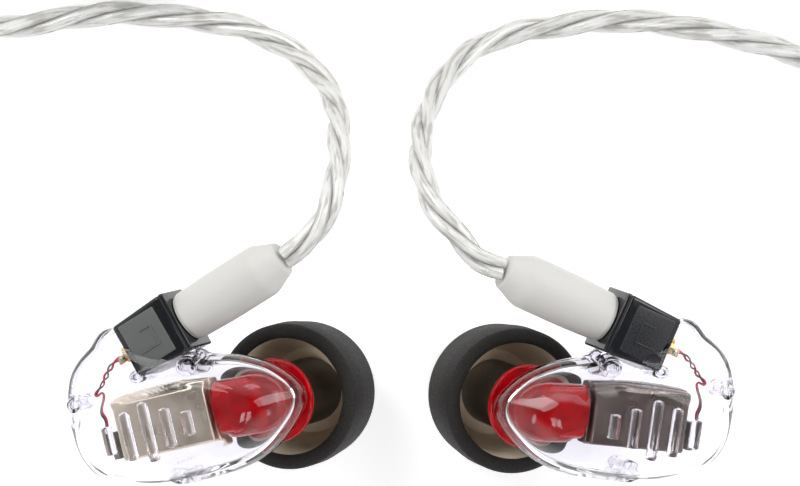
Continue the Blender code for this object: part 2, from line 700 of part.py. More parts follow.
def add_lead(name, side, route, material):
    """A leg from its boot to its coil: straight out of the boot, then along the route."""
    out = BOOT_LENGTH + CORD_EXIT_GAP
    mouth = CONNECTOR_ORIGIN + connector_direction() * out
    further = CONNECTOR_ORIGIN + connector_direction() * (out + CORD_DIAMETER)
    points = [side.to_world(mouth).translation, side.to_world(further).translation]
    points += [on_table(*point) for point in route]
    add_cord(name, even_steps(catmull_rom(points, 8), CORD_STEP), CORD_RADIUS, material)


def coil_section(turns):
    """Width and height of a coil's section, from its turns beside and on each other."""
    return turns[0] * CORD_DIAMETER, turns[1] * CORD_DIAMETER


def add_coil(name, centre, radius, turns, material):
    """The outer shape of a round coil, a turned ring standing clear of its tie."""
    width, height = coil_section(turns)
    inner, outer, corner = radius - width / 2, radius + width / 2, COIL_CORNER
    low, high = COIL_LIFT, COIL_LIFT + height
    profile = [(inner + corner, low), (outer - corner, low), (outer, low + corner),
               (outer, high - corner), (outer - corner, high), (inner + corner, high),
               (inner, high - corner), (inner, low + corner)]
    piece = add_mesh(name, turned(profile, COIL_SEGMENTS), material)
    piece.location = on_table(*centre)


def add_tie(name, centre, radius, turns, angle, material):
    """A soft band right round the section of a coil."""
    width, height = coil_section(turns)
    half = width / 2 + TIE_CLEARANCE + 0.3 * MM
    low, high = TIE_THICKNESS, COIL_LIFT + height + TIE_CLEARANCE
    corner = 0.6 * MM
    rings = []
    for grow in (0.0, TIE_THICKNESS):
        a, b, c, d = -half - grow, half + grow, low - grow, high + grow
        cut = corner + grow / 2
        rings.append([(a + cut, c), (b - cut, c), (b, c + cut), (b, d - cut), (b - cut, d),
                      (a + cut, d), (a, d - cut), (a, c + cut)])
    bm = bmesh.new()
    loops = []
    for ring, across in ((rings[0], -1), (rings[0], 1), (rings[1], 1), (rings[1], -1)):
        loops.append([bm.verts.new((x, across * TIE_WIDTH / 2, z)) for x, z in ring])
    for first, second in zip(loops, loops[1:] + loops[:1]):
        bridge(bm, first, second)
    bmesh.ops.recalc_face_normals(bm, faces=bm.faces)
    piece = add_mesh(name, bm, material)
    piece.location = on_table(*centre) + radius * Vector((math.cos(angle), math.sin(angle), 0.0))
    piece.rotation_euler.z = angle


def make_slider(material):
    """The chin slider: a small block with a slot for both legs."""
    width, height = SLIDER_SIZE
    middle = sum(LEG_END_Y) / 2
    start = on_table(SLIDER_START, middle)
    half = width / 2
    slider = add_mesh("chin_slider", block(
        (0.0, -half, 0.0), (SLIDER_LENGTH * MM, half, height), 0.7 * MM), material)
    slider.location = start
    spread = abs(LEG_END_Y[0] - LEG_END_Y[1]) / 2 * MM + CORD_RADIUS + CONNECTOR_GAP
    rise = CORD_RADIUS + CONNECTOR_GAP
    slot = add_mesh("slider_slot_cut", block(
        (-GAP, -spread, -rise), (SLIDER_LENGTH * MM + GAP, spread, rise), 0.0), None, hidden=True)
    slot.location = on_table(SLIDER_START, middle, LEG_END_HEIGHT)
    boolean(slider, slot)


def make_splitter(material):
    """The splitter: wide where the legs go in, narrow where the trunk comes out."""
    legs = sum(LEG_END_Y) / 2
    stations = [(0.0, 0.93), (0.06, 1.0), (0.5, 1.0), (0.94, 1.0), (1.0, 0.9)]
    sections = []
    for share, round_off in stations:
        along = smooth_step(share)
        width = (SPLIT_WIDTHS[0] + (SPLIT_WIDTHS[1] - SPLIT_WIDTHS[0]) * along) * round_off
        height = (SPLIT_HEIGHTS[0] + (SPLIT_HEIGHTS[1] - SPLIT_HEIGHTS[0]) * along) * round_off
        y = legs + (SPLIT_END[0] - legs) * share
        ring = superellipse(width, height, height / 2, 16, power=4.0)
        sections.append([on_table(SPLIT_START + share * SPLIT_LENGTH, y + across, up)
                         for across, up in ring])
    add_mesh("y_split", lofted(sections), material)


def make_jack(materials):
    """The plug: relief, housing, insulating core and three contacts, along -X."""
    start = on_table(*PLUG_START)
    axis = Vector((-1.0, 0.0, 0.0))

    def add(name, profile, material):
        add_mesh(name, on_axis(turned(profile, FINE_SEGMENTS), start, axis), materials[material])

    small, large = RELIEF_RADII
    add("plug_relief", [(0.0, 0.0), (small - 0.2 * MM, 0.0), (small, 0.3 * MM),
                        (large, RELIEF_LENGTH), (0.0, RELIEF_LENGTH)], "white_rubber")
    front = RELIEF_LENGTH + GAP
    back = front + HOUSING_LENGTH
    socket = JACK_CORE + GAP
    recess = JACK_RADIUS + GAP
    seat, root = back - JACK_SEAT, back - JACK_ROOT
    add("plug_housing", [(0.0, front), (HOUSING_RADIUS - HOUSING_EDGE, front),
                         (HOUSING_RADIUS, front + HOUSING_EDGE),
                         (HOUSING_RADIUS, back - HOUSING_FACE_EDGE),
                         (HOUSING_RADIUS - HOUSING_FACE_EDGE, back), (recess, back),
                         (recess, seat), (socket, seat), (socket, root), (0.0, root)],
        "white_plastic")
    bore = JACK_CORE + CONNECTOR_GAP
    first = seat + GAP
    second = back + JACK_SLEEVE
    third = second + JACK_BAND
    fourth = third + JACK_RING
    fifth = fourth + JACK_BAND
    end = back + JACK_LENGTH
    groove = fifth + 0.9 * MM
    neck = 0.8 * JACK_RADIUS
    add("plug_sleeve", [(bore, first), (JACK_RADIUS, first), (JACK_RADIUS, second),
                        (bore, second)], "gold")
    add("plug_ring", [(bore, third), (JACK_RADIUS, third), (JACK_RADIUS, fourth),
                      (bore, fourth)], "gold")
    add("plug_tip", [(0.0, fifth), (JACK_RADIUS, fifth), (neck, groove),
                     (JACK_RADIUS, groove + 0.9 * MM), (0.3 * JACK_RADIUS, end), (0.0, end)],
        "gold")
    step = GAP / 2
    add("plug_insulation",
        [(0.0, root + GAP), (JACK_CORE, root + GAP),
         (JACK_CORE, second + step), (JACK_RADIUS - step, second + step),
         (JACK_RADIUS - step, third - step), (JACK_CORE, third - step),
         (JACK_CORE, fourth + step), (JACK_RADIUS - step, fourth + step),
         (JACK_RADIUS - step, fifth - step), (0.0, fifth - step)], "black_plastic")


def make_cable(sides, materials):
    """The two legs, their coil, slider and splitter, then the trunk, its coil and the plug."""
    jacket = materials["cable"]
    add_lead("left_leg_lead", sides[0], LEFT_LEAD, jacket)
    add_lead("right_leg_lead", sides[1], RIGHT_LEAD, jacket)
    add_coil("leg_coil", LEG_COIL_CENTRE, LEG_COIL_RADIUS, LEG_COIL_TURNS, jacket)
    add_coil("trunk_coil", TRUNK_COIL_CENTRE, TRUNK_COIL_RADIUS, TRUNK_COIL_TURNS, jacket)
    band = materials["band"]
    add_tie("leg_tie", LEG_COIL_CENTRE, LEG_COIL_RADIUS, LEG_COIL_TURNS, LEG_TIE_ANGLE, band)
    add_tie("trunk_tie", TRUNK_COIL_CENTRE, TRUNK_COIL_RADIUS, TRUNK_COIL_TURNS,
            TRUNK_TIE_ANGLE, band)

    legs_end = SPLIT_START - GAP / MM
    for name, y, start in zip(("left", "right"), LEG_END_Y, LEG_END_START):
        ends = [on_table(start, y, LEG_END_HEIGHT), on_table(legs_end, y, LEG_END_HEIGHT)]
        add_cord(f"{name}_leg_tail", even_steps(ends, CORD_STEP), CORD_RADIUS, jacket)
    make_slider(materials["grey_rubber"])
    make_splitter(materials["grey_rubber"])

    mouth = [(SPLIT_START + SPLIT_LENGTH + GAP / MM, *SPLIT_END)]
    trunk = [on_table(*point) for point in mouth + TRUNK_LEAD]
    add_cord("trunk_lead", even_steps(catmull_rom(trunk, 8), CORD_DIAMETER), CORD_RADIUS, jacket)
    tail = [on_table(*point) for point in TRUNK_TAIL]
    tail.append(on_table(PLUG_START[0] + GAP / MM, PLUG_START[1], PLUG_START[2]))
    add_cord("trunk_tail", tail, CORD_RADIUS, jacket)
    make_jack(materials)


def make_materials():
    """One plain material for each finish."""
    return {
        "clear": plain_material("clear_acrylic", (0.9, 0.91, 0.92), 0.05, 0.0, 0.9),
        "red": plain_material("red_acrylic", (0.55, 0.01, 0.03), 0.15, 0.0, 0.4),
        "can_left": plain_material("nickel_can", (0.66, 0.6, 0.52), 0.3, 1.0),
        "can_right": plain_material("dark_nickel_can", (0.26, 0.22, 0.2), 0.3, 1.0),
        "steel": plain_material("steel", (0.55, 0.54, 0.52), 0.3, 1.0),
        "gold": plain_material("gold_plate", (0.78, 0.55, 0.22), 0.25, 1.0),
        "board": plain_material("terminal_board", (0.35, 0.33, 0.3), 0.6),
        "black_plastic": plain_material("black_plastic", (0.012, 0.012, 0.014), 0.25),
        "black_rubber": plain_material("black_rubber", (0.015, 0.013, 0.012), 0.6),
        "silicone": plain_material("dark_silicone", (0.042, 0.036, 0.033), 0.75),
        "grey_rubber": plain_material("pale_grey_rubber", (0.71, 0.69, 0.66), 0.6),
        "white_rubber": plain_material("white_rubber", (0.72, 0.71, 0.68), 0.6),
        "white_plastic": plain_material("white_plastic", (0.75, 0.74, 0.72), 0.4),
        "red_wire": plain_material("red_enamel_wire", (0.65, 0.01, 0.05), 0.35),
        "black_wire": plain_material("black_enamel_wire", (0.02, 0.03, 0.03), 0.35),
        "cable": plain_material("clear_cable", (0.72, 0.72, 0.7), 0.3),
        "band": plain_material("woven_band", (0.05, 0.05, 0.055), 0.9),
    }


def main():
    clear_scene()
    materials = make_materials()
    sides = [Layout("left"), Layout("right")]
    for side in sides:
        make_shells(side, materials["clear"])
        make_drivers(side, materials)
        make_nozzle(side, materials)
        make_ear_tip(side, materials)
        make_socket(side, materials)
        make_plug(side, materials)
        make_wires(side, materials)
    make_cable(sides, materials)


main()
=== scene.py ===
"""Looks of a pair of in-ear monitors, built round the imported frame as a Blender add-on."""

import json
import math

import bmesh
import bpy
import numpy as np
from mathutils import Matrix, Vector


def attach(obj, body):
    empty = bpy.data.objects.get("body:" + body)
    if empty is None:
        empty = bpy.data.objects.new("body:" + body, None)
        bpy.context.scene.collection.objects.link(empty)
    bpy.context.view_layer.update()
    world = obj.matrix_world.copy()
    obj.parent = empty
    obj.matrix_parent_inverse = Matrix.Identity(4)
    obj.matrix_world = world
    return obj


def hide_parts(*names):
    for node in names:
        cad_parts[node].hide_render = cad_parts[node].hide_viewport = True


bl_info = {
    "name": "In-Ear Monitors",
    "version": (1, 0, 0),
    "blender": (4, 5, 0),
    "location": "3D View > Sidebar > Earphones",
    "description": "Builds a pair of clear-shelled in-ear monitors with their cable",
    "category": "Add Mesh",
}

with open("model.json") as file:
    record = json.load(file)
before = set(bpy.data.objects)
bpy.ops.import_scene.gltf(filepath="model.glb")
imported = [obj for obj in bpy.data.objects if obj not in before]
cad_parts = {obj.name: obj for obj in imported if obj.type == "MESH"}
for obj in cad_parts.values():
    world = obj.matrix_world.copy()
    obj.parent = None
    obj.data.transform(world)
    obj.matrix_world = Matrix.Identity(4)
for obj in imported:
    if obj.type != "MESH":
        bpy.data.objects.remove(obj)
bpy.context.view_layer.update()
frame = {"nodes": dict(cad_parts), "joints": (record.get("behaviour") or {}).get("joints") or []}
MM = 0.001
SIDES = ("left", "right")
ACROSS = np.array((0.0, 1.0, 0.0))
UP = np.array((0.0, 0.0, 1.0))
WELD = 1e-7

# Layout of the cable on the table, and of each earpiece in its own frame: X towards the
# nozzle end, Y towards the connector, Z out of the faceplate, with the seam at Z = 0.
ORIGIN = np.array((-0.07, 12.77, 0.0)) * MM
HALF_LENGTH = 11.0 * MM
HALF_WIDTH = 5.4 * MM
SHELL_WALL = 1.0 * MM
SEAM_GAP = 0.3 * MM
SHELL_OUTLINE = [(1.02, -0.12), (0.90, 0.37), (0.64, 0.72), (0.33, 0.92), (0.21, 1.07),
                 (-0.43, 1.68), (-0.66, 1.45), (-0.85, 1.15), (-0.95, 0.68), (-0.97, 0.19),
                 (-0.93, -0.31), (-0.79, -0.68), (-0.39, -1.01), (0.0, -1.05), (0.43, -0.98),
                 (0.76, -0.70)]
FACE_SHOULDER_DEPTH = 2.9 * MM
FACE_POD_RISE = 1.9 * MM
BODY_NOZZLE_DEPTH = 3.6 * MM
BODY_REAR_RISE = 2.6 * MM
POD_EDGE = 0.4

# Ribs of the faceplate and bosses of the seam (X, Y and radius), in millimetres
RIB_LENGTHS = (2.6, 4.4, 5.4, 3.6, 2.2)
RIB_START = -5.6
RIB_SPACING = 1.9
RIB_LIFT = 0.08 * MM
BOSSES = ((-9.3, 3.3, 0.75), (1.75, 4.15, 0.95), (-2.9, 4.3, 0.65), (-1.2, -4.55, 0.95))
BOSS_HEIGHTS = (-1.6, 1.9)

NOZZLE_AXIS = np.array((0.597 * HALF_LENGTH, -0.07 * HALF_WIDTH, 0.0))
NOZZLE_RADIUS = 2.0 * MM
NOZZLE_BORE = 1.3 * MM
NOZZLE_START = 2.15 * MM
FLANGE_RADIUS = 3.7 * MM
FLANGE_TOP = 4.0 * MM
FLANGE_BOTTOM = 4.7 * MM
NOZZLE_END = 12.2 * MM
TIP_RADIUS = 6.45 * MM
TIP_WALL = 1.3 * MM
TIP_RIM = 7.5 * MM
TIP_END = 15.4 * MM
TIP_END_RADIUS = 4.2 * MM
HUB_RADIUS = 2.8 * MM
SLEEVE_BORE = 2.3 * MM
SLEEVE_RADIUS = 2.9 * MM

CAN_SIZE = np.array((9.0, 5.2, 3.0)) * MM
CAN_CENTRE = np.array((-0.144 * HALF_LENGTH, 0.0, 0.1 * MM))
CAN_EDGE = 0.22 * MM
COUPLER_START = 3.22 * MM
COUPLER_END = 9.37 * MM
COUPLER_WIDTH = 5.0 * MM
COUPLER_HEIGHT = 3.7 * MM
COUPLER_SHOULDER = 0.62

CONNECTOR_ANGLE = math.radians(17.4)
CONNECTOR_WAY = (math.cos(CONNECTOR_ANGLE), math.sin(CONNECTOR_ANGLE))
CONNECTOR_ORIGIN = np.array((0.232 * HALF_LENGTH, 1.583 * HALF_WIDTH, 0.0))
SOCKET_FACE = 0.4 * MM
SOCKET_BACK = 6.1 * MM
SOCKET_WIDTH = 5.2 * MM
SOCKET_DEPTH = 4.8 * MM
BOOT_LENGTH = 10.1 * MM
BOOT_FRONT = 2.22 * MM
BOOT_MIDDLE = 2.37 * MM
BOOT_END = 1.55 * MM
BOOT_SHOULDER = 0.78

# Where the hook-up wires go in the shell, in millimetres
WIRE_ROUTE = [(-4.35, 6.3, 0.9), (-5.2, 5.9, 0.8), (-6.1, 5.1, 0.5), (-6.9, 4.3, 0.2),
              (-7.6, 3.75, 0.1), (-7.55, 3.5, 0.1), (-7.0, 3.65, 0.1), (-7.1, 2.9, 0.1),
              (-7.4, 1.9, 0.1), (-7.4, 0.8, 0.1), (-7.5, -0.2, 0.1), (-7.4, -1.1, 0.1),
              (-7.1, -1.4, 0.1), (-6.95, -0.95, 0.1)]


def on_top(points):
    """Points of the layout where the cable lies on the table, in millimetres."""
    return [(x, y, 1.25) for x, y in points]


# The cable's own route, point by point where it isn't coiled, in millimetres
CORD_DIAMETER = 2.3 * MM
CORD_GAP = 0.3 * MM
LEFT_LEAD = [(-6.6, 2.0, 19.0), (-5.75, 4.6, 18.1), (-5.35, 7.1, 16.3), (-5.35, 9.5, 13.8),
             (-5.6, 11.6, 11.0), (-6.4, 13.6, 8.2), (-7.9, 15.6, 5.6), (-10.0, 17.3, 3.5),
             (-12.4, 18.6, 2.2), (-14.8, 19.4, 1.6), (-17.8, 19.9, 1.3), *on_top([
                 (-22.6, 20.4), (-27.0, 20.4), (-31.5, 19.7), (-35.7, 19.2), (-39.2, 19.3),
                 (-42.2, 20.9), (-43.6, 24.0), (-44.0, 27.3), (-44.2, 30.5)])]
RIGHT_LEAD = [(4.8, 0.8, 19.7), (3.1, 2.9, 18.8), (2.05, 5.4, 16.8), (1.75, 8.0, 14.0),
              (2.0, 10.4, 11.3), (2.8, 12.6, 8.6), (4.0, 14.7, 6.1), (5.6, 16.5, 4.1),
              (7.7, 17.8, 2.7), (10.1, 18.7, 1.8), (13.0, 19.2, 1.35), *on_top([
                  (17.9, 19.8), (22.4, 19.7), (27.0, 19.0), (31.4, 18.0), (35.6, 16.7),
                  (38.6, 16.0), (41.3, 16.7), (42.7, 19.3), (42.2, 22.3), (39.8, 24.4),
                  (36.0, 25.0), (27.0, 25.1), (15.0, 25.0), (2.0, 24.9)]),
              (-9.0, 24.7, 1.6), (-20.4, 24.4, 3.8)]
LEG_ENDS = {name: [(-22.0, y, z[0]), (-19.3, y, z[1]), (-16.5, y, z[2]), (-13.5, y, 2.3),
                   (-9.0, y, 2.3), (-4.8, y, 2.3)]
            for name, y, z in (("left", 56.1, (6.3, 4.6, 2.8)), ("right", 53.5, (6.4, 5.4, 3.0)))}
TRUNK_LEAD = [(5.3, 55.6, 1.7), (6.5, 55.62, 1.75), (8.2, 56.0, 1.8), (9.6, 56.9, 1.8),
              (10.8, 58.1, 1.8)]
TRUNK_TAIL = [(22.0, 27.6, 2.2), (19.0, 28.9, 2.2), (16.9, 29.5, 2.4), (15.7, 29.6, 2.8),
              (14.5, 29.6, 3.1)]
LEG_COIL_CENTRE = (-29.0, 40.5)
TRUNK_COIL_CENTRE = (25.5, 45.8)
TIE_WALL = 0.4
TIE_WIDTH = 5.0

# The plug's parts: node, material, slot, corner radius and (radius, length) profile in
# millimetres
PLUG_PARTS = (
    ("plug_housing", "white", "white_plastic", 0.5, [
        (0, 4.8), (3.0, 4.8), (3.0, 14.3), (2.05, 14.3), (2.05, 12.8), (1.3, 12.8),
        (1.3, 11.3), (0, 11.3)]),
    ("plug_sleeve", "gold", "gold_plate", 0.1, [
        (1.15, 13.1), (1.75, 13.1), (1.75, 20.9), (1.15, 20.9)]),
    ("plug_ring", "gold", "gold_plate", 0.1, [
        (1.15, 21.5), (1.75, 21.5), (1.75, 23.9), (1.15, 23.9)]),
    ("plug_tip", "gold", "gold_plate", 0.3, [
        (0, 24.5), (1.75, 24.5), (1.35, 25.4), (1.75, 26.2), (0.5, 28.3), (0, 28.3)]),
    ("plug_insulation", "black", "black_plastic", 0.05, [
        (0, 11.6), (1.0, 11.6), (1.0, 21.05), (1.6, 21.05), (1.6, 21.35), (1.0, 21.35),
        (1.0, 24.05), (1.6, 24.05), (1.6, 24.35), (0, 24.35)]))

# Where each coil's turns lie: (turns from the start, radius, height), in millimetres
ROWS = (1.75, 4.05, 6.35, 8.65)
LEFT_TURNS = [(0.0, 18.2, 1.25), (0.12, 15.3, ROWS[0]), (0.85, 15.3, ROWS[0]),
              (1.0, 13.0, ROWS[0]), (1.85, 13.0, ROWS[0]), (2.0, 10.7, ROWS[0]),
              (2.1, 10.5, ROWS[1]), (2.18, 10.8, ROWS[2]), (2.34, 15.6, ROWS[2])]
RIGHT_TURNS = [(0.0, 18.25, 1.4), (0.1, 15.4, ROWS[1]), (0.9, 15.4, ROWS[1]),
               (1.05, 13.0, ROWS[1]), (1.35, 13.0, ROWS[1]), (1.578, 13.0, ROWS[2])]


def trunk_turns():
    """Three turns to a row, in and out, then one half turn down the outside."""
    radii = (16.1, 13.8, 11.5, 11.5, 13.8, 16.1, 16.1, 13.8, 11.5, 11.5)
    keys = [(0.0, 19.2, 1.8), (0.1, radii[0], ROWS[0])]
    for turn, radius in enumerate(radii):
        keys.append((turn + 0.87, radius, ROWS[turn // 3]))
        if turn + 1 < len(radii):
            keys.append((turn + 1.0, radii[turn + 1], ROWS[(turn + 1) // 3]))
    return keys + [(10.0, 13.8, ROWS[3]), (10.16, 16.3, ROWS[3]), (10.32, 18.6, 7.4),
                   (10.64, 18.6, 2.3)]


# ---- numbers and surfaces

def linear(hex_colour):
    """An sRGB hex colour as linear red, green and blue."""
    channels = [int(hex_colour[i:i + 2], 16) / 255 for i in (1, 3, 5)]
    return tuple(c / 12.92 if c <= 0.04045 else ((c + 0.055) / 1.055) ** 2.4
                 for c in channels)


def smooth_step(value):
    """0 below 0, 1 above 1 and 3t^2 - 2t^3 between."""
    value = np.clip(value, 0.0, 1.0)
    return value * value * (3 - 2 * value)


def superellipse(angle, power):
    """x and y where |x|^power + |y|^power = 1, at each angle."""
    c, s = np.cos(angle), np.sin(angle)
    return np.sign(c) * np.abs(c) ** (2 / power), np.sign(s) * np.abs(s) ** (2 / power)


def round_end(share, start, length):
    """1 up to the start, then a quarter circle that falls to 0 over the length."""
    return np.sqrt(np.clip(1 - ((share - start) / length).clip(0, 1) ** 2, 0.0, 1.0))


def unit(vectors):
    """The same directions with length 1."""
    return vectors / np.linalg.norm(vectors, axis=-1, keepdims=True)


def path_length(path):
    """The sum of the distances from point to point."""
    return np.linalg.norm(np.diff(path, axis=0), axis=1).sum()


def spline(points, samples, closed=False):
    """A Catmull-Rom curve: each span blends its four nearest points with cubic weights."""
    p = np.asarray(points, dtype=float)
    count = len(p)
    index = np.arange(-1, 3)[:, None] + np.arange(count if closed else count - 1)
    index = index % count if closed else index.clip(0, count - 1)
    a, b, c, d = p[index][:, :, None]
    t = (np.arange(samples) / samples)[None, :, None]
    curve = 0.5 * (2 * b + (c - a) * t + (2 * a - 5 * b + 4 * c - d) * t ** 2
                   + (3 * b - a - 3 * c + d) * t ** 3)
    curve = curve.reshape(-1, p.shape[1])
    return curve if closed else np.vstack([curve, p[-1]])


def even(path, step):
    """The path again, with points an equal distance apart by linear interpolation."""
    along = np.concatenate([[0.0], np.cumsum(np.linalg.norm(np.diff(path, axis=0), axis=1))])
    places = np.linspace(0.0, along[-1], max(4, int(round(along[-1] / step)) + 1))
    return np.stack([np.interp(places, along, path[:, k]) for k in range(3)], axis=1)


def eased(path, passes):
    """The path with each inner point moved to the mean of itself and its neighbours."""
    path = path.copy()
    for _ in range(passes):
        path[1:-1] = (path[:-2] + 2 * path[1:-1] + path[2:]) / 4
    return path


def cross_frame(path):
    """Unit vectors to the side of a path and above it; no stretch of it is upright."""
    ahead = unit(np.gradient(path, axis=0))
    side = unit(np.cross(ahead, UP))
    return side, np.cross(side, ahead)


def ring_grid(path, side, above, width, height, count, power=2.0):
    """Rings round a path, shut at its ends: superellipses of half width and half height,
    one a point."""
    x, y = superellipse(2 * np.pi * np.arange(count) / count, power)
    side, above = (np.broadcast_to(way, path.shape)[:, None] for way in (side, above))
    width, height = (np.broadcast_to(half, len(path))[:, None, None]
                     for half in (width, height))
    return closed_ends(path[:, None] + width * x[:, None] * side
                       + height * y[:, None] * above)


def tube_grid(path, radius, count):
    """A round tube along a path."""
    return ring_grid(path, *cross_frame(path), radius, radius, count)


def closed_ends(grid):
    """The grid with each end ring drawn to its own middle, so that the tube is shut."""
    first, last = (np.broadcast_to(ring.mean(axis=0), (1, *ring.shape))
                   for ring in (grid[0], grid[-1]))
    return np.concatenate([first, grid, last])


def rounded(profile, radius, steps=4):
    """A closed (radius, height) outline whose corners become quadratic curves."""
    p = np.asarray(profile, dtype=float)
    before, after = np.roll(p, 1, axis=0), np.roll(p, -1, axis=0)
    to_before, to_after = before - p, after - p
    for step in (to_before, to_after):
        length = np.linalg.norm(step, axis=1)
        step *= (np.minimum(radius, 0.45 * length) / np.maximum(length, 1e-12))[:, None]
    t = np.linspace(0.0, 1.0, steps + 1)[None, :, None]
    start, end = (p + to_before)[:, None], (p + to_after)[:, None]
    curve = (1 - t) ** 2 * start + 2 * t * (1 - t) * p[:, None] + t ** 2 * end
    on_axis = p[:, 0] <= 0
    curve[on_axis] = p[on_axis][:, None]
    return curve.reshape(-1, 2)


def turned_grid(profile, count):
    """A (radius, height) outline revolved about Z; the outline is the grid's first way."""
    angle = 2 * np.pi * np.arange(count) / count
    r, h = profile[:, 0][:, None], profile[:, 1][:, None]
    return np.stack([r * np.cos(angle), r * np.sin(angle),
                     np.broadcast_to(h, (len(profile), count))], axis=2)


def block_grid(size, centre, corner, steps=4):
    """A box whose edges are quarter rounds: a superellipsoid-like grid of latitude rings.

    Each point of a unit sphere keeps its direction, is pushed to the inner box's corner
    nearest to it and then out by the corner radius."""
    quarter = np.linspace(0.0, np.pi / 2, steps + 1)
    around = np.concatenate([quarter + k * np.pi / 2 for k in range(4)])
    up = np.concatenate([quarter - np.pi / 2, quarter])
    lat, lon = np.meshgrid(up, around, indexing="ij")
    normal = np.stack([np.cos(lat) * np.cos(lon), np.cos(lat) * np.sin(lon), np.sin(lat)], 2)
    sign = np.empty_like(normal)
    sign[..., 0] = np.repeat((1, -1, -1, 1), steps + 1)
    sign[..., 1] = np.repeat((1, 1, -1, -1), steps + 1)
    sign[..., 2] = np.repeat((-1, 1), steps + 1)[:, None]
    inner = np.asarray(size) / 2 - corner
    return closed_ends(np.asarray(centre) + sign * inner + corner * normal)


def faces_of(grid_shape, wrap_rows, first=0):
    """Quads of a grid whose columns wrap, and its rows too if asked; with their UVs."""
    rows, columns = grid_shape[:2]
    i, j = np.indices((rows if wrap_rows else rows - 1, columns)).reshape(2, -1)
    corners = np.array([(i, j), (i, j + 1), (i + 1, j + 1), (i + 1, j)])
    quads = corners[:, 0] % rows * columns + corners[:, 1] % columns + first
    return quads.T, corners.transpose(2, 0, 1) / (rows, columns)


def level_rows(outlines, heights):
    """Closed outlines in a plane as the rows of a grid, each at its own height."""
    return np.stack([np.column_stack([outline, np.full(len(outline), height)])
                     for outline, height in zip(outlines, heights)])


def soft_box(width, height, count, power):
    """A closed superellipse outline of full width and height."""
    x, y = superellipse(2 * np.pi * (np.arange(count) + 0.5) / count, power)
    return np.column_stack([width / 2 * x, height / 2 * y])


# ---- pieces

class Side:
    """One earpiece's own frame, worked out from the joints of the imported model."""

    def __init__(self, name):
        joints = {joint["name"]: joint for joint in frame["joints"]}
        swivel = joints[f"{name}_swivel"]
        boot, ear = unit(swivel["axis"]), unit(joints[f"{name}_tip_pull"]["axis"])
        across = np.cross(-ear, boot) * (1 if name == "left" else -1)
        c, s = CONNECTOR_WAY
        self.name = name
        self.axes = np.stack([c * boot - s * across, s * boot + c * across, -ear])
        self.origin = np.array(swivel["pos_m"]) - CONNECTOR_ORIGIN @ self.axes

    def place(self, points):
        """Points in the earpiece's frame as points on the table."""
        return self.origin + points @ self.axes

    def nozzle(self, grid):
        """A solid drawn about Z, put on the nozzle axis with +Z out of the ear side."""
        return self.place(NOZZLE_AXIS + grid * (1.0, -1.0, -1.0))

    def connector(self, grid):
        """A solid drawn about Z, put on the connector axis with +Z along the boot."""
        c, s = CONNECTOR_WAY
        turned = grid @ np.array(((-s, c, 0.0), (0.0, 0.0, 1.0), (c, s, 0.0)))
        return self.place(CONNECTOR_ORIGIN + turned)

    def piece(self, label, place, grids, materials, node=None, body=None, **settings):
        """A piece of this side, named for it; it rides on the earpiece unless told."""
        nodes = (f"{self.name}_{node}",) if node else ()
        return make_piece(f"{self.name}_{label}", [place(grid) for grid in grids], materials,
                          body or f"{self.name}_earpiece", nodes, **settings)


def on_table(points):
    """Layout points in millimetres as points of the row frame in metres."""
    return np.asarray(points, dtype=float) * MM + ORIGIN


def add_object(name, data):
    """A new object in the scene."""
    item = bpy.data.objects.new(name, data)
    bpy.context.collection.objects.link(item)
    return item


def make_piece(name, grids, materials, body, nodes=(), slot=None, wrap=True, sharp=50,
               uv_length=1.0):
    """One mesh from grids; poles and seams are welded and the faces turned outwards.

    materials is one key of MATERIALS, or one for each grid; uv_length stretches U."""
    keys = (materials,) if isinstance(materials, str) else materials
    quads, uvs, owners, count = [], [], [], 0
    for k, grid in enumerate(grids):
        faces, uv = faces_of(grid.shape, wrap, count)
        quads.append(faces)
        uvs.append(uv.reshape(-1, 2) * (uv_length, 1.0))
        owners.append(np.full(len(faces), k % len(keys)))
        count += grid.shape[0] * grid.shape[1]
    mesh = bpy.data.meshes.new(name)
    points = np.concatenate([grid.reshape(-1, 3) for grid in grids])
    mesh.from_pydata(points, [], np.concatenate(quads))
    layer = mesh.uv_layers.new(name="surface")
    layer.data.foreach_set("uv", np.concatenate(uvs).ravel())
    for key in keys:
        mesh.materials.append(MATERIALS[key])
    mesh.polygons.foreach_set("material_index", np.concatenate(owners))
    bm = bmesh.new()
    bm.from_mesh(mesh)
    bmesh.ops.remove_doubles(bm, verts=bm.verts, dist=WELD)
    bmesh.ops.dissolve_degenerate(bm, edges=bm.edges, dist=WELD / 10)
    bmesh.ops.recalc_face_normals(bm, faces=bm.faces)
    bm.to_mesh(mesh)
    bm.free()
    mesh.shade_smooth()
    mesh.set_sharp_from_angle(angle=math.radians(sharp))
    piece = add_object(name, mesh)
    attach(piece, body)
    if nodes:
        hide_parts(*nodes)
    return piece


def dress(side, material, *parts):
    """Give a side's carried-over CAD nodes their material."""
    for part in parts:
        mesh = frame["nodes"][f"{side.name}_{part}"].data
        mesh.materials.clear()
        mesh.materials.append(MATERIALS[material])


# ---- materials

def add_node(tree, kind, inputs=None, links=None, **settings):
    """Add a node, set its properties and sockets, and link (socket, node, output)."""
    item = tree.nodes.new(kind)
    for key, value in settings.items():
        setattr(item, key, value)
    for key, value in (inputs or {}).items():
        item.inputs[key].default_value = value
    for key, (source, output) in (links or {}).items():
        tree.links.new(source.outputs[output], item.inputs[key])
    return item


def start_material(name, colour, **sockets):
    """A Principled material; returns its tree, shader and texture coordinates."""
    material = bpy.data.materials.new(name)
    material.use_nodes = True
    tree = material.node_tree
    shader = tree.nodes["Principled BSDF"]
    shader.inputs["Base Color"].default_value = (*colour, 1.0)
    for key, value in sockets.items():
        shader.inputs[key.replace("_", " ")].default_value = value
    material.diffuse_color = (*colour, 1.0)
    place = add_node(tree, "ShaderNodeTexCoord")
    return material, tree, shader, place


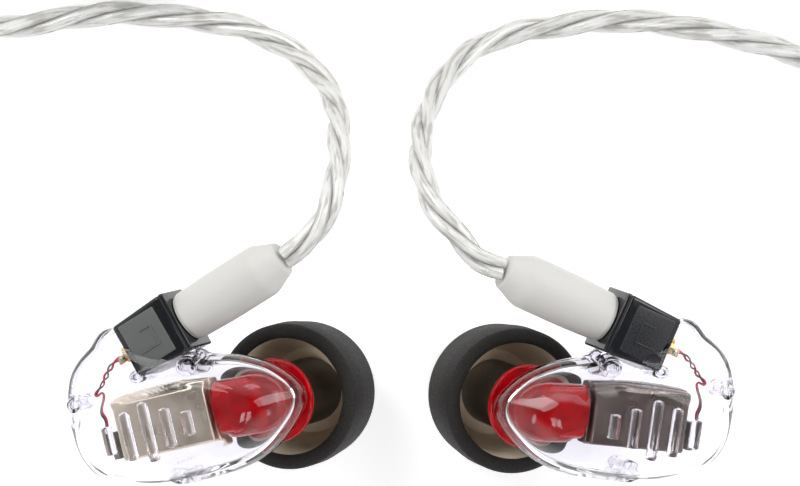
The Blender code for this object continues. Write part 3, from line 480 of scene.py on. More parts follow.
def add_grain(tree, shader, place, size, depth, detail=3.0):
    """Fine bumps of the given size and depth in metres."""
    noise = add_node(tree, "ShaderNodeTexNoise", {"Scale": 1 / size, "Detail": detail},
                     {"Vector": (place, "Object")})
    bump = add_node(tree, "ShaderNodeBump", {"Distance": depth, "Strength": 1.0},
                    {"Height": (noise, "Fac")})
    tree.links.new(bump.outputs["Normal"], shader.inputs["Normal"])
    return noise


def vary(tree, shader, noise, socket, low, high):
    """Let a value follow a noise between two limits."""
    ramp = add_node(tree, "ShaderNodeMapRange", {"From Min": 0.35, "From Max": 0.65,
                                                 "To Min": low, "To Max": high},
                    {"Value": (noise, "Fac")})
    tree.links.new(ramp.outputs["Result"], shader.inputs[socket])


def tint(tree, shader, source, output, low, high, span=(0.35, 0.65)):
    """Let the colour follow a value between two colours."""
    ramp = add_node(tree, "ShaderNodeValToRGB", links={"Fac": (source, output)})
    for element, position, colour in zip(ramp.color_ramp.elements, span, (low, high)):
        element.position = position
        element.color = (*colour, 1.0)
    tree.links.new(ramp.outputs["Color"], shader.inputs["Base Color"])


def shade(colour, factor):
    """A colour times a factor."""
    return tuple(min(1.0, c * factor) for c in colour)


def grained(name, colour, size, depth, detail=3.0, mottle=None, gloss=None, **sockets):
    """A finish with grain: mottle darkens it in places, gloss is its roughness' range."""
    material, tree, shader, place = start_material(name, colour, **sockets)
    noise = add_grain(tree, shader, place, size, depth, detail)
    if mottle:
        tint(tree, shader, noise, "Fac", shade(colour, mottle), colour)
    if gloss:
        vary(tree, shader, noise, "Roughness", *gloss)
    return material


def clear_acrylic(name, index):
    """Clear acrylic, moulded and polished: sharp gloss, faint flow waves."""
    return grained(name, linear("#f7f6fb"), 3.0 * MM, 0.012 * MM, 1.0, gloss=(0.0, 0.03),
                   Roughness=0.01, IOR=index, Transmission_Weight=1.0)


def red_acrylic(name, colour, weight, roughness):
    """Tinted acrylic, moulded: lets light through, with slightly cloudy flow marks."""
    return grained(name, colour, 1.1 * MM, 0.015 * MM, 2.0, 0.72, Roughness=roughness,
                   IOR=1.33, Transmission_Weight=weight)


def nickel_can(name, colour):
    """Drawn sheet can with nickel plate: even satin with soft smears a few mm across."""
    material, tree, shader, place = start_material(name, colour, Metallic=0.75, Roughness=0.32)
    smear = add_node(tree, "ShaderNodeTexNoise", {"Scale": 1 / (3.2 * MM), "Detail": 2.0},
                     {"Vector": (place, "Object")})
    tint(tree, shader, smear, "Fac", shade(colour, 0.88), colour)
    vary(tree, shader, smear, "Roughness", 0.26, 0.38)
    return material


def plated(name, colour, roughness=0.22):
    """Plated metal, barrel polished: even gloss with a faint ripple."""
    return grained(name, colour, 0.25 * MM, 0.003 * MM, Metallic=1.0, Roughness=roughness,
                   gloss=(roughness * 0.8, roughness * 1.3))


def moulded(name, colour, roughness, grain=0.12 * MM, depth=0.006 * MM, mottle=0.9):
    """Moulded plastic or rubber with the grain of its tool and slight mottling."""
    return grained(name, colour, grain, depth, mottle=mottle, Roughness=roughness,
                   gloss=(roughness * 0.85, min(1.0, roughness * 1.12)))


def clear_jacket():
    """Extruded clear PVC over each strand: glossy, with faint waves from the die."""
    return grained("extruded_clear_vinyl", linear("#fdfdfb"), 0.7 * MM, 0.008 * MM, 1.0,
                   Roughness=0.05, IOR=1.36, Transmission_Weight=1.0)


def litz_wire():
    """Silver-plated copper litz: hair wires laid loosely along each conductor, bumped along it.
    Its colour is painted sheen and shade: near white and barely metallic to stand for a white
    room's reflection, with bright and grey streaks about 2.5 mm long that run with the wires as
    painted glints and painted shade between them. U is the length in metres and V goes once
    round."""
    # Near white and barely metallic: painted reflection of a white room.
    material, tree, shader, place = start_material(
        "stranded_silver_plated_wire", linear("#f6f5f1"), Metallic=0.1, Roughness=0.35)
    stretch = add_node(tree, "ShaderNodeMapping", {"Scale": (1 / (2.4 * MM), 8.0, 1.0)},
                       {"Vector": (place, "UV")})
    noise = add_node(tree, "ShaderNodeTexNoise", {"Scale": 1.0, "Detail": 4.0},
                     {"Vector": (stretch, "Vector")})
    bump = add_node(tree, "ShaderNodeBump", {"Distance": 0.03 * MM, "Strength": 1.0},
                    {"Height": (noise, "Fac")})
    tree.links.new(bump.outputs["Normal"], shader.inputs["Normal"])
    # Painted shade and glints: grey where the wire's bumps dip, white where they rise.
    tint(tree, shader, noise, "Fac", linear("#d6d4cf"), linear("#ffffff"), (0.38, 0.52))
    return material


def woven_band():
    """Woven nylon tape: a basket weave with threads 0.35 mm apart."""
    material, tree, shader, place = start_material("woven_nylon_tape", linear("#2b2b2e"),
                                                   Roughness=0.85)
    check = add_node(tree, "ShaderNodeTexChecker", {"Scale": 1 / (0.35 * MM)},
                     {"Vector": (place, "Object")})
    bump = add_node(tree, "ShaderNodeBump", {"Distance": 0.05 * MM, "Strength": 0.6},
                    {"Height": (check, "Fac")})
    tree.links.new(bump.outputs["Normal"], shader.inputs["Normal"])
    tint(tree, shader, check, "Fac", linear("#1d1d20"), linear("#333338"))
    return material


MATERIALS = {}


def make_materials(look):
    """All finishes, each made once."""
    red = tuple(look.red)
    MATERIALS.update({
        "clear": clear_acrylic("polished_clear_acrylic", 1.36),
        "red": red_acrylic("tinted_red_acrylic", shade(red, 1.1), 0.55, 0.1),
        "red_deep": red_acrylic("tinted_red_acrylic_cap", shade(red, 1.4), 0.66, 0.07),
        "red_block": moulded("deep_red_moulded_block", shade(red, 0.8), 0.3),
        "rib": clear_acrylic("moulded_clear_acrylic_rib", 1.5),
        "can_left": nickel_can("nickel_plated_can", tuple(look.can_left)),
        # The right can is the same nickel-plated can as the left; its darker colour is painted
        # shade.
        "can_right": nickel_can("dark_nickel_plated_can", tuple(look.can_right)),
        "steel": plated("stainless_spring_steel", linear("#bdb9b2"), 0.28),
        "gold": plated("gold_plated_brass", linear("#dcae58")),
        "board": moulded("glass_epoxy_board", linear("#8c8a80"), 0.6),
        "black": moulded("glossy_black_abs", linear("#1b1c1f"), 0.14, 0.6 * MM, 0.004 * MM),
        "panel_left": moulded("satin_grey_abs", linear("#5b5e5c"), 0.42),
        "panel_right": moulded("satin_black_abs", linear("#26272b"), 0.3),
        "core": moulded("black_moulded_rubber", linear("#171009"), 0.38),
        "silicone": moulded("matte_dark_silicone", tuple(look.silicone), 0.75, 0.16 * MM,
                            0.014 * MM, 0.82),
        # Inside of the tip: partly its own smoky tint, partly painted light; it is far paler than
        # the dark outside silicone to stand for light shining through the thin wall.
        "smoke": moulded("smoke_tinted_silicone", linear("#efe0c8"), 0.35, 0.8 * MM,
                         0.006 * MM, 0.97),
        "boot": moulded("soft_touch_grey_tpe", tuple(look.boot), 0.55, 0.1 * MM, 0.006 * MM,
                        0.96),
        "white": moulded("moulded_white_abs", linear("#e4e2de"), 0.35, mottle=0.96),
        "red_wire": moulded("red_enamelled_wire", linear("#d8123f"), 0.3),
        "black_wire": moulded("black_enamelled_wire", linear("#26302f"), 0.3),
        "jacket": clear_jacket(),
        # Conductors: their colour carries painted sheen and shade.
        "litz": litz_wire(),
        "band": woven_band(),
    })


# ---- shell

def pod_rise(x, y):
    """A raised oval: 1 in its middle, falling with a smooth step to 0 at its edge."""
    reach = np.hypot(x / HALF_LENGTH, y / HALF_WIDTH + 0.07)
    return smooth_step((1 - reach) / POD_EDGE)


def face_height(x, y, share, wall):
    """Faceplate half: depth sqrt(1 - share^4) at the edge, plus the raised oval."""
    edge = np.sqrt(np.clip(1 - share ** 4, 0.0, 1.0))
    return (FACE_SHOULDER_DEPTH - wall) * edge + FACE_POD_RISE * pod_rise(x, y)


def body_height(x, y, share, wall):
    """Ear side half: the same edge, and a belly that rises towards the back."""
    edge = np.sqrt(np.clip(1 - share ** 4, 0.0, 1.0))
    rear = smooth_step((0.22 - x / HALF_LENGTH) / 0.6)
    return (BODY_NOZZLE_DEPTH - wall) * edge + BODY_REAR_RISE * rear * pod_rise(x, y)


def shell_grid(height, sign):
    """A cup of even wall: rings shrink from the outline to the middle of the dome,
    outside and then inside, and the first and last rings meet in a flat rim."""
    scale = np.array((HALF_LENGTH, HALF_WIDTH))
    outline = spline(np.array(SHELL_OUTLINE) * scale, 10, closed=True)
    outline = (np.roll(outline, 1, 0) + 2 * outline + np.roll(outline, -1, 0)) / 4
    inset = outline * (1 - SHELL_WALL / np.linalg.norm(outline, axis=1))[:, None]
    share = np.sin(np.linspace(0.0, np.pi / 2, 40))
    rows = []
    for border, wall, shares in ((outline, 0.0, share), (inset, SHELL_WALL, share[::-1])):
        flat = shares[:, None, None] * border[None]
        z = SEAM_GAP / 2 + height(flat[..., 0], flat[..., 1], shares[:, None], wall)
        rows.append(np.concatenate([flat, sign * z[..., None]], axis=2))
    return np.concatenate(rows)


def level_bars(radius):
    """Rounded ribs of different lengths across the faceplate, like level bars."""
    grids = []
    for k, length in enumerate(RIB_LENGTHS):
        x = (RIB_START + RIB_SPACING * k) * MM
        y = np.linspace(-length / 2, length / 2, 30) * MM - 0.4 * MM
        share = np.hypot(x / HALF_LENGTH, y / HALF_WIDTH)
        z = SEAM_GAP / 2 + face_height(x, y, share, 0.0) + RIB_LIFT
        path = np.stack([np.full_like(y, x), y, z], axis=1)
        cap = round_end(np.abs(np.linspace(-1, 1, 30)), 0.88, 0.12)
        grids.append(tube_grid(path, radius * cap, 20))
    return grids


def bosses():
    """Hollow pins across the seam: a ring's eased section revolved at each place."""
    grids = []
    for x, y, radius in BOSSES:
        bore, (low, high) = 0.45 * radius, BOSS_HEIGHTS
        profile = rounded([(bore, low), (radius, low), (radius, high), (bore, high)], 0.15)
        grids.append((turned_grid(profile, 40) + (x, y, 0.0)) * MM)
    return grids


class EARPHONE_OT_shells(bpy.types.Operator):
    """Clear shell halves with their ribs, pins and seam"""

    bl_idname = "earphone.shells"
    bl_label = "Shells"

    def execute(self, context):
        rib = context.scene.earphone_look.rib_radius
        for side in map(Side, SIDES):
            for label, node, height, sign in (("face_shell", "outer_shell", face_height, 1),
                                              ("body_shell", "inner_shell", body_height, -1)):
                side.piece(label, side.place, [shell_grid(height, sign)], "clear", node,
                           slot="clear_shell")
            side.piece("level_bars", side.place, level_bars(rib), "rib", slot="clear_shell",
                       wrap=False)
            side.piece("alignment_bosses", side.place, bosses(), "clear", slot="clear_shell")
        return {"FINISHED"}


# ---- inside

def coupler_grid():
    """A rounded body along X: its half width and height follow a list of sizes, and end
    in a quarter circle that stops at a tenth."""
    share = np.linspace(0.0, 1.0, 60)
    size = np.interp(share, (0.0, 0.3, 0.55, 0.72), (0.86, 0.96, 1.0, 0.96))
    size = size * (0.1 + 0.9 * round_end(share, COUPLER_SHOULDER, 1 - COUPLER_SHOULDER))
    x = COUPLER_START + share * (COUPLER_END - COUPLER_START)
    path = np.stack([x, NOZZLE_AXIS[1] * share, np.full_like(x, 0.05 * MM)], axis=1)
    return ring_grid(path, ACROSS, UP, COUPLER_WIDTH / 2 * size, COUPLER_HEIGHT / 2 * size,
                     48, 2.5)


class EARPHONE_OT_insides(bpy.types.Operator):
    """Drivers, coupler, nozzle, board and contacts"""

    bl_idname = "earphone.insides"
    bl_label = "Insides"

    def execute(self, context):
        lid = block_grid(CAN_SIZE * (0.97, 0.96, 0.4), CAN_CENTRE + CAN_SIZE * (0, 0, 0.3),
                         CAN_EDGE)
        base = block_grid(CAN_SIZE * (1.0, 1.0, 0.62), CAN_CENTRE - CAN_SIZE * (0, 0, 0.19),
                          CAN_EDGE)
        block = block_grid((3.6 * MM, 4.0 * MM, 2.9 * MM),
                           (COUPLER_START + 1.9 * MM, 0.0, 0.1 * MM), 0.35 * MM)
        profile = [(NOZZLE_BORE, NOZZLE_START), (NOZZLE_RADIUS, NOZZLE_START),
                   (NOZZLE_RADIUS, FLANGE_TOP), (FLANGE_RADIUS, FLANGE_TOP),
                   (FLANGE_RADIUS, FLANGE_BOTTOM), (NOZZLE_RADIUS, FLANGE_BOTTOM),
                   (NOZZLE_RADIUS, NOZZLE_END), (NOZZLE_BORE, NOZZLE_END)]
        nozzle = turned_grid(rounded(profile, 0.2 * MM), 96)
        tab = block_grid((0.7 * MM, 0.25 * MM, 1.6 * MM),
                         (-0.3 * MM, 0.9 * MM, -SOCKET_BACK - 0.6 * MM), 0.08 * MM)
        bead = block_grid((0.5 * MM, 0.4 * MM, 0.5 * MM),
                          (-0.3 * MM, 1.05 * MM, -SOCKET_BACK - 1.0 * MM), 0.19 * MM)
        for side in map(Side, SIDES):
            side.piece("driver_can", side.place, [lid, base], f"can_{side.name}",
                       "bass_driver", slot="driver_can", wrap=False)
            side.piece("coupler_block", side.place, [block], "red_block", slot="red_acrylic",
                       wrap=False)
            side.piece("red_coupler", side.place, [coupler_grid()], "red_deep",
                       "nozzle_coupler", slot="red_acrylic", wrap=False)
            side.piece("red_nozzle", side.nozzle, [nozzle], "red", "nozzle",
                       slot="red_acrylic")
            side.piece("solder_tab", side.connector, [tab, bead], ("gold", "steel"),
                       slot="gold_plate", wrap=False)
            dress(side, "steel", "treble_driver", "wax_guard", "snap_ring")
            dress(side, "board", "crossover_board", "damper")
            dress(side, "gold", "socket_barrel", "socket_contact", "plug_barrel", "plug_pin")
            dress(side, "white", "plug_insulator")
        return {"FINISHED"}


class EARPHONE_OT_wires(bpy.types.Operator):
    """Twisted red and black hook-up wires"""

    bl_idname = "earphone.wires"
    bl_label = "Wires"

    def execute(self, context):
        path = eased(even(spline(np.array(WIRE_ROUTE) * MM, 12), 0.05 * MM), 8)
        along = np.linspace(0.0, 1.0, len(path))
        across, above = cross_frame(path)
        turns = (4.2 + 1.1 * np.sin(5.0 * along)) * along
        reach = (0.1 + 0.06 * np.sin(9.0 * along)) * MM
        for side in map(Side, SIDES):
            for wire, phase, radius in (("red_wire", 0.0, 0.1), ("black_wire", np.pi, 0.075)):
                angle = (2 * np.pi * turns + phase)[:, None]
                twist = reach[:, None] * (np.cos(angle) * across + np.sin(angle) * above)
                grid = tube_grid(path + twist, radius * MM, 12)
                side.piece(f"{wire}_twist", side.place, [grid], wire, wire, slot=wire,
                           wrap=False)
        return {"FINISHED"}


# ---- connector and tip

class EARPHONE_OT_connectors(bpy.types.Operator):
    """Black socket blocks and pale cable boots"""

    bl_idname = "earphone.connectors"
    bl_label = "Connectors"

    def execute(self, context):
        middle = -(SOCKET_FACE + SOCKET_BACK) / 2
        length = SOCKET_BACK - SOCKET_FACE
        block = block_grid((SOCKET_WIDTH, SOCKET_DEPTH, length - 0.4 * MM),
                           (0.0, 0.0, middle - 0.2 * MM), 0.3 * MM)
        block[..., :2] *= 1.02 + 0.1 * (block[..., 2:] - middle) / length
        collar = block_grid((SOCKET_WIDTH + 0.32 * MM, SOCKET_DEPTH + 0.2 * MM, 0.5 * MM),
                            (0.0, 0.0, -SOCKET_FACE - 0.25 * MM), 0.18 * MM)
        panel = self.top_panel(middle - 0.35 * MM, length)
        boot = turned_grid(self.boot_profile(), 96)
        for side in map(Side, SIDES):
            side.piece("socket_block", side.connector, [block, collar], "black",
                       "socket_housing", slot="black_plastic", wrap=False)
            side.piece("socket_panel", side.connector, panel, f"panel_{side.name}",
                       slot="black_plastic", wrap=False)
            side.piece("cable_boot", side.connector, [boot], "boot", "boot", body="cable",
                       slot="grey_rubber")
        return {"FINISHED"}

    def top_panel(self, middle, length):
        """A flat panel on the block's upper face, with a raised bracket-shaped rib."""
        top = SOCKET_DEPTH / 2
        grids = [block_grid((SOCKET_WIDTH - 0.9 * MM, 0.3 * MM, length - 1.9 * MM),
                            (0.05 * MM, top, middle), 0.1 * MM)]
        for x, z, width, long in ((-0.9, -0.1, 0.12, 1.9), (0.0, 0.85, 1.9, 0.12),
                                  (0.9, 0.3, 0.12, 1.2)):
            grids.append(block_grid((width * MM, 0.18 * MM, long * MM),
                                    (x * MM, top + 0.17 * MM, middle + z * MM), 0.05 * MM))
        return grids

    def boot_profile(self):
        """Half the boot's section: it swells from the front, keeps its width and then
        narrows from its shoulder, half linearly and half by a smooth step."""
        share = np.linspace(0.0, 1.0, 40)
        swell = np.interp(share, (0.0, 0.12, 0.3, 0.5), (0.0, 0.35, 0.85, 1.0))
        taper = np.clip((share - BOOT_SHOULDER) / (1 - BOOT_SHOULDER), 0.0, 1.0)
        drop = smooth_step(taper) * 0.55 + taper * 0.45
        radius = (BOOT_FRONT + swell * (BOOT_MIDDLE - BOOT_FRONT)
                  - drop * (BOOT_MIDDLE - BOOT_END))
        outer = np.stack([radius, share * BOOT_LENGTH - 0.25 * MM * (1 - share)], axis=1)
        lip, front = 0.12 * MM, -0.3 * MM
        outer[0, 1], outer[-1, 1] = lip, BOOT_LENGTH - lip
        return np.vstack([[(0.0, front), (BOOT_FRONT - lip, front)], outer,
                          [(BOOT_END - lip, BOOT_LENGTH), (0.0, BOOT_LENGTH)]])


class EARPHONE_OT_ear_tips(bpy.types.Operator):
    """Soft ear tips with their stiff sleeves"""

    bl_idname = "earphone.ear_tips"
    bl_label = "Ear tips"

    def execute(self, context):
        inside = TIP_RADIUS - TIP_WALL
        shoulder = TIP_RIM + 0.66 * (TIP_END - TIP_RIM)
        angle = np.radians(np.linspace(0, 90, 16))
        corner = TIP_RADIUS - 0.25 * MM - TIP_END_RADIUS
        round_corner = np.stack([TIP_END_RADIUS + corner * np.cos(angle),
                                 shoulder + (TIP_END - shoulder) * np.sin(angle)], axis=1)
        lip = np.radians(np.linspace(180, 0, 10))
        half = TIP_WALL / 2
        rim = np.stack([inside + half + half * np.cos(lip),
                        TIP_RIM + 0.3 * MM * (1 - np.sin(lip))], axis=1)
        wall = [(TIP_RADIUS, TIP_RIM + 0.35 * (TIP_END - TIP_RIM))]
        floor = TIP_END - 1.6 * MM
        outside = np.vstack([rim, wall, round_corner,
                             [(HUB_RADIUS, TIP_END), (HUB_RADIUS, floor)]])
        hollow = np.array([(HUB_RADIUS, floor), (TIP_END_RADIUS - 0.4 * MM, floor),
                           (inside - 0.3 * MM, shoulder - 0.6 * MM), rim[0]])
        near, far = FLANGE_BOTTOM + 0.2 * MM, TIP_END - 0.2 * MM
        sleeve = rounded([(SLEEVE_BORE, near), (SLEEVE_RADIUS, near), (SLEEVE_RADIUS, far),
                          (SLEEVE_BORE, far)], 0.12 * MM)
        for side in map(Side, SIDES):
            body = f"{side.name}_ear_tip"
            # The hollow takes the paler inside finish: smoky tint plus painted light shining
            # through the silicone.
            side.piece("tip_skirt", side.nozzle,
                       [turned_grid(outside, 128), turned_grid(hollow, 128)],
                       ("silicone", "smoke"), "ear_tip_skirt", body, slot="silicone",
                       wrap=False)
            side.piece("tip_sleeve", side.nozzle, [turned_grid(sleeve, 96)], "core",
                       "ear_tip_core", body, slot="black_rubber")
        return {"FINISHED"}


# ---- cable

def coil_path(centre, start, keys):
    """Turns of a coil, clockwise from a start point: radius and height ease from key to key."""
    turns, radii, heights = np.array(keys).T
    u = np.linspace(0.0, turns[-1], int(turns[-1] * 160))
    k = np.clip(np.searchsorted(turns, u, side="right") - 1, 0, len(turns) - 2)
    share = smooth_step((u - turns[k]) / (turns[k + 1] - turns[k]))
    radius = radii[k] + share * (radii[k + 1] - radii[k])
    height = heights[k] + share * (heights[k + 1] - heights[k])
    first = math.atan2(start[1] - centre[1], start[0] - centre[0])
    angle = first - 2 * np.pi * u
    return np.stack([centre[0] + radius * np.cos(angle), centre[1] + radius * np.sin(angle),
                     height], axis=1)


def leg_path(name):
    """A leg: out of its boot, over the table, round the coil and on to the splitter."""
    out = np.array((0.0, 0.0, BOOT_LENGTH + CORD_GAP))
    mouth = Side(name).connector(np.stack([out, out + CORD_DIAMETER * UP]))
    lead, keys = (LEFT_LEAD, LEFT_TURNS) if name == "left" else (RIGHT_LEAD, RIGHT_TURNS)
    start = spline(np.vstack([mouth, on_table(lead)]), 10)
    coil = on_table(coil_path(LEG_COIL_CENTRE, lead[-1], keys))
    end = spline(on_table(LEG_ENDS[name]), 10)
    return eased(even(np.vstack([start, coil[1:], end]), 0.5 * MM), 6)


def trunk_path():
    """The trunk: out of the splitter, round its coil and into the plug."""
    coil = on_table(coil_path(TRUNK_COIL_CENTRE, TRUNK_LEAD[-1], trunk_turns()))
    path = np.vstack([spline(on_table(TRUNK_LEAD), 10), coil[1:],
                      spline(on_table(TRUNK_TAIL), 10)])
    return eased(even(path, 0.7 * MM), 6)


def strand_grids(path, radius, look, sides):
    """Three strands laid in a helix: each strand's middle goes round the cable's own."""
    along = np.linspace(0.0, path_length(path), len(path))
    side, above = cross_frame(path)
    grids = []
    for k in range(3):
        angle = (2 * np.pi * (along / look.twist_pitch + k / 3))[:, None]
        middle = path + look.strand_reach * (np.cos(angle) * side + np.sin(angle) * above)
        grids.append(tube_grid(middle, radius, sides))
    return grids


def cable_piece(look, name, path, nodes, sides):
    """Three clear strands twisted together, and the silver conductors inside them."""
    jacket = make_piece(f"{name}_jackets", strand_grids(path, look.strand_radius, look, sides),
                        "jacket", "cable", nodes, "cable_jacket", wrap=False)
    # The conductors' colour is painted sheen and shade.
    wires = make_piece(f"{name}_conductors", strand_grids(path, look.wire_radius, look, sides),
                       "litz", "cable", slot="cable_jacket", wrap=False,
                       uv_length=path_length(path))
    return jacket, wires


def along_x(start, heading):
    """A placer that turns a solid drawn about Z on to a line along X."""
    return lambda grid: start + np.stack([heading * grid[..., 2], grid[..., 0],
                                          grid[..., 1]], axis=-1)


class EARPHONE_OT_cable(bpy.types.Operator):
    """Twisted cable: two legs and the trunk, coiled, with slider, splitter and ties"""

    bl_idname = "earphone.cable"
    bl_label = "Cable"

    def execute(self, context):
        look = context.scene.earphone_look
        self.slider()
        split = self.splitter()
        self.tie("leg_tie", LEG_COIL_CENTRE, 13.0, (3, 2), 285)
        self.tie("trunk_tie", TRUNK_COIL_CENTRE, 13.8, (3, 4), 335)
        for name, nodes in (("left", ("left_leg_lead", "left_leg_tail", "leg_coil")),
                            ("right", ("right_leg_lead", "right_leg_tail"))):
            path = leg_path(name)
            jacket, wires = cable_piece(look, f"{name}_leg", path, nodes, 14)
            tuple(path[0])
        plug = self.plug()
        path = trunk_path()
        jacket, wires = cable_piece(look, "trunk", path,
                                    ("trunk_lead", "trunk_coil", "trunk_tail"), 8)
        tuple(path[0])
        return {"FINISHED"}

    def slider(self):
        """A soft rounded block with a slot for both legs: outline inside and outside."""
        outer, inner, edge = (soft_box(width * MM, height * MM, 64, power) for
                              width, height, power in ((7.3, 4.5, 5.0), (5.3, 2.7, 6.0),
                                                       (6.6, 3.8, 4.0)))
        grid = level_rows((inner, inner, edge, outer, outer, edge),
                          np.array((0.0, 4.0, 4.0, 3.6, 0.4, 0.0)) * MM)
        place = along_x(on_table((-12.5, 54.8, 2.3)), 1)
        make_piece("slider_block", [place(grid)], "boot", "chin_slider", ("chin_slider",),
                   "grey_rubber", sharp=40)

    def splitter(self):
        """A block whose section eases from wide to narrow, with a rounded end each way."""
        share = np.linspace(0.0, 1.0, 36)
        ease = smooth_step(share)
        end = 0.84 + 0.16 * round_end(np.abs(share - 0.5), 0.42, 0.08)
        half_width, half_height = (6.0 - 2.4 * ease) / 2, (4.6 - 0.9 * ease) / 2
        path = on_table(np.column_stack([-4.5 + 9.5 * share, 54.8 + 0.8 * share, half_height]))
        grid = ring_grid(path, ACROSS, UP, half_width * MM * end, half_height * MM * end, 64,
                         4.0)
        return make_piece("splitter_block", [grid], "boot", "cable", ("y_split",),
                          "grey_rubber", wrap=False)

    def tie(self, node, centre, radius, turns, angle):
        """A soft band round the section of a coil: its outline inside, then outside."""
        width, height = turns[0] * 2.3 + 1.0, turns[1] * 2.3 + 0.4
        inner = soft_box(width, height, 96, 8.0)
        outer = soft_box(width + 2 * TIE_WALL, height + 2 * TIE_WALL, 96, 8.0)
        half = TIE_WIDTH / 2
        grid = level_rows((inner, inner, outer, outer), (-half, half, half, -half))
        turn = math.radians(angle)
        out = np.array((math.cos(turn), math.sin(turn), 0.0))
        middle = np.array((*centre, TIE_WALL + height / 2)) + radius * out
        points = middle + grid @ np.stack([out, UP, np.cross(UP, out)])
        make_piece(f"{node}_band", [on_table(points)], "band", "cable", (node,), "woven_band")

    def plug(self):
        """The jack plug: ribbed relief, moulded housing and three plated contacts."""
        place = along_x(on_table((14.2, 29.6, 3.1)), -1)
        ribs = np.linspace(0.0, 1.0, 90)
        bulge = 0.12 * (np.cos(2 * np.pi * 5 * ribs) - 1)
        relief = np.column_stack([1.6 + 0.6 * ribs + bulge, 4.5 * ribs])
        relief = np.vstack([[(0.0, 0.0)], relief, [(0.0, 4.5)]]) * MM
        pieces = [make_piece("plug_strain_relief", [place(turned_grid(relief, 48))], "boot",
                             "cable", ("plug_relief",), "grey_rubber")]
        for node, material, slot, corner, profile in PLUG_PARTS:
            grid = place(turned_grid(rounded(np.array(profile) * MM, corner * MM), 64))
            pieces.append(make_piece(f"{node}_finish", [grid], material, "cable", (node,),
                                     slot))
        return pieces


# ---- stage

FLOOR_WIDTH = 3.0
SENSOR_WIDTH = 36.0
CAMERA_HEIGHT = 0.6
VIEW_WIDTH = 71.4286 * MM
# Each light's name, place, size in metres and power in watts
LIGHTS = (("key", (-0.35, 0.4, 0.45), 0.35, 2.4), ("fill", (0.45, 0.2, 0.4), 0.35, 1.6),
          ("front", (0.02, -0.22, 0.6), 0.18, 0.9))
# How bright the room is from the horizon (0) to straight overhead (1)
ROOM_LEVELS = ((0.0, 0.5), (0.12, 0.8), (0.3, 1.3), (0.58, 1.1), (0.74, 0.1))


def area_light(name, place, size, power):
    """A soft square light that looks at the middle of the table."""
    light = bpy.data.lights.new(name, "AREA")
    light.shape = "SQUARE"
    light.size = size
    light.energy = power
    item = add_object(name, light)
    item.location = place
    item.rotation_euler = (-Vector(place)).to_track_quat("-Z", "Y").to_euler()


class EARPHONE_OT_stage(bpy.types.Operator):
    """Pale floor, soft studio light and the camera"""

    bl_idname = "earphone.stage"
    bl_label = "Stage"

    def execute(self, context):
        self.floor()
        self.studio()
        for light in LIGHTS:
            area_light(*light)
        camera = bpy.data.cameras.new("camera")
        camera.sensor_width = SENSOR_WIDTH
        camera.lens = SENSOR_WIDTH * CAMERA_HEIGHT / VIEW_WIDTH
        camera.clip_start = 0.01
        item = add_object("camera", camera)
        item.location = (ORIGIN[0], ORIGIN[1], CAMERA_HEIGHT)
        context.scene.camera = item
        return {"FINISHED"}

    def floor(self):
        """White card that glows a little, so that it stays white in the shade."""
        half = FLOOR_WIDTH / 2
        mesh = bpy.data.meshes.new("floor")
        mesh.from_pydata([(-half, -half, 0), (half, -half, 0), (half, half, 0),
                          (-half, half, 0)], [], [(0, 1, 2, 3)])
        mesh.materials.append(grained("white_card", linear("#ffffff"), 0.4 * MM, 0.01 * MM,
                                      Roughness=0.9, Emission_Strength=0.42,
                                      Emission_Color=(1.0, 1.0, 1.0, 1.0)))
        add_object("floor", mesh)

    def studio(self):
        """A white room: bright walls, a dim strip at the horizon and a dim ceiling."""
        world = bpy.data.worlds.new("studio")
        bpy.context.scene.world = world
        world.use_nodes = True
        tree = world.node_tree
        place = add_node(tree, "ShaderNodeTexCoord")
        split = add_node(tree, "ShaderNodeSeparateXYZ", links={"Vector": (place, "Generated")})
        ramp = add_node(tree, "ShaderNodeValToRGB", links={"Fac": (split, "Z")})
        elements = ramp.color_ramp.elements
        while len(elements) < len(ROOM_LEVELS):
            elements.new(0.5)
        for element, (position, level) in zip(elements, ROOM_LEVELS):
            element.position = position
            element.color = (level, level, level, 1.0)
        back = tree.nodes["Background"]
        back.inputs["Strength"].default_value = 0.85
        tree.links.new(ramp.outputs["Color"], back.inputs["Color"])
        bpy.context.scene.view_settings.view_transform = "Standard"


# ---- add-on

COLOUR = {"subtype": "COLOR", "size": 3, "min": 0, "max": 1}


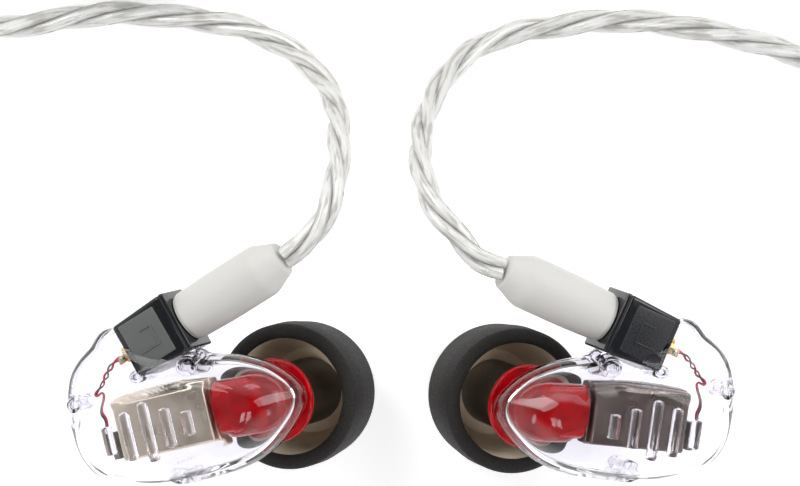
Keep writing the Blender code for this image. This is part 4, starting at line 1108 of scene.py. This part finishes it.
class EarphoneLook(bpy.types.PropertyGroup):
    """What a user would change about the look"""

    red: bpy.props.FloatVectorProperty(
        name="Red", description="Colour of the tinted nozzle and coupler",
        default=linear("#e20014"), **COLOUR)
    can_left: bpy.props.FloatVectorProperty(
        name="Left can", description="Colour of the left driver can",
        default=linear("#e9ddc6"), **COLOUR)
    # Painted shade: the right can has the left one's plating, painted darker.
    can_right: bpy.props.FloatVectorProperty(
        name="Right can", description="Colour of the right driver can",
        default=linear("#7d7068"), **COLOUR)
    boot: bpy.props.FloatVectorProperty(
        name="Boot", description="Colour of the cable boots", default=linear("#c9c8c4"),
        **COLOUR)
    silicone: bpy.props.FloatVectorProperty(
        name="Ear tip", description="Colour of the ear tips", default=linear("#181513"),
        **COLOUR)
    strand_radius: bpy.props.FloatProperty(
        name="Strand radius", description="Radius of each clear strand of the cable",
        default=0.59 * MM, unit="LENGTH")
    wire_radius: bpy.props.FloatProperty(
        name="Conductor radius", description="Radius of the silver conductor in a strand",
        default=0.38 * MM, unit="LENGTH")
    strand_reach: bpy.props.FloatProperty(
        name="Strand reach", description="Distance of a strand's middle from the cable's",
        default=0.54 * MM, unit="LENGTH")
    twist_pitch: bpy.props.FloatProperty(
        name="Twist pitch", description="Length in which the strands go round once",
        default=16.5 * MM, unit="LENGTH")
    rib_radius: bpy.props.FloatProperty(
        name="Rib radius", description="Radius of the ribs on the faceplate",
        default=0.5 * MM, unit="LENGTH")


class EARPHONE_PT_panel(bpy.types.Panel):
    """Lists the groups of pieces"""

    bl_label = "Earphones"
    bl_idname = "EARPHONE_PT_panel"
    bl_space_type = "VIEW_3D"
    bl_region_type = "UI"
    bl_category = "Earphones"

    def draw(self, context):
        self.layout.prop(context.scene.earphone_look, "red")
        for operator in OPERATORS:
            self.layout.operator(operator.bl_idname)


OPERATORS = (EARPHONE_OT_stage, EARPHONE_OT_cable, EARPHONE_OT_connectors,
             EARPHONE_OT_ear_tips, EARPHONE_OT_insides, EARPHONE_OT_wires, EARPHONE_OT_shells)
CLASSES = (EarphoneLook, *OPERATORS, EARPHONE_PT_panel)


def register():
    for item in CLASSES:
        bpy.utils.register_class(item)
    bpy.types.Scene.earphone_look = bpy.props.PointerProperty(type=EarphoneLook)


def unregister():
    del bpy.types.Scene.earphone_look
    for item in reversed(CLASSES):
        bpy.utils.unregister_class(item)


def main():
    register()
    make_materials(bpy.context.scene.earphone_look)
    bpy.ops.earphone.stage()
    bpy.ops.earphone.cable()
    bpy.ops.earphone.connectors()
    bpy.ops.earphone.ear_tips()
    bpy.ops.earphone.insides()
    bpy.ops.earphone.wires()
    bpy.ops.earphone.shells()


if __name__ == "__main__":
    main()
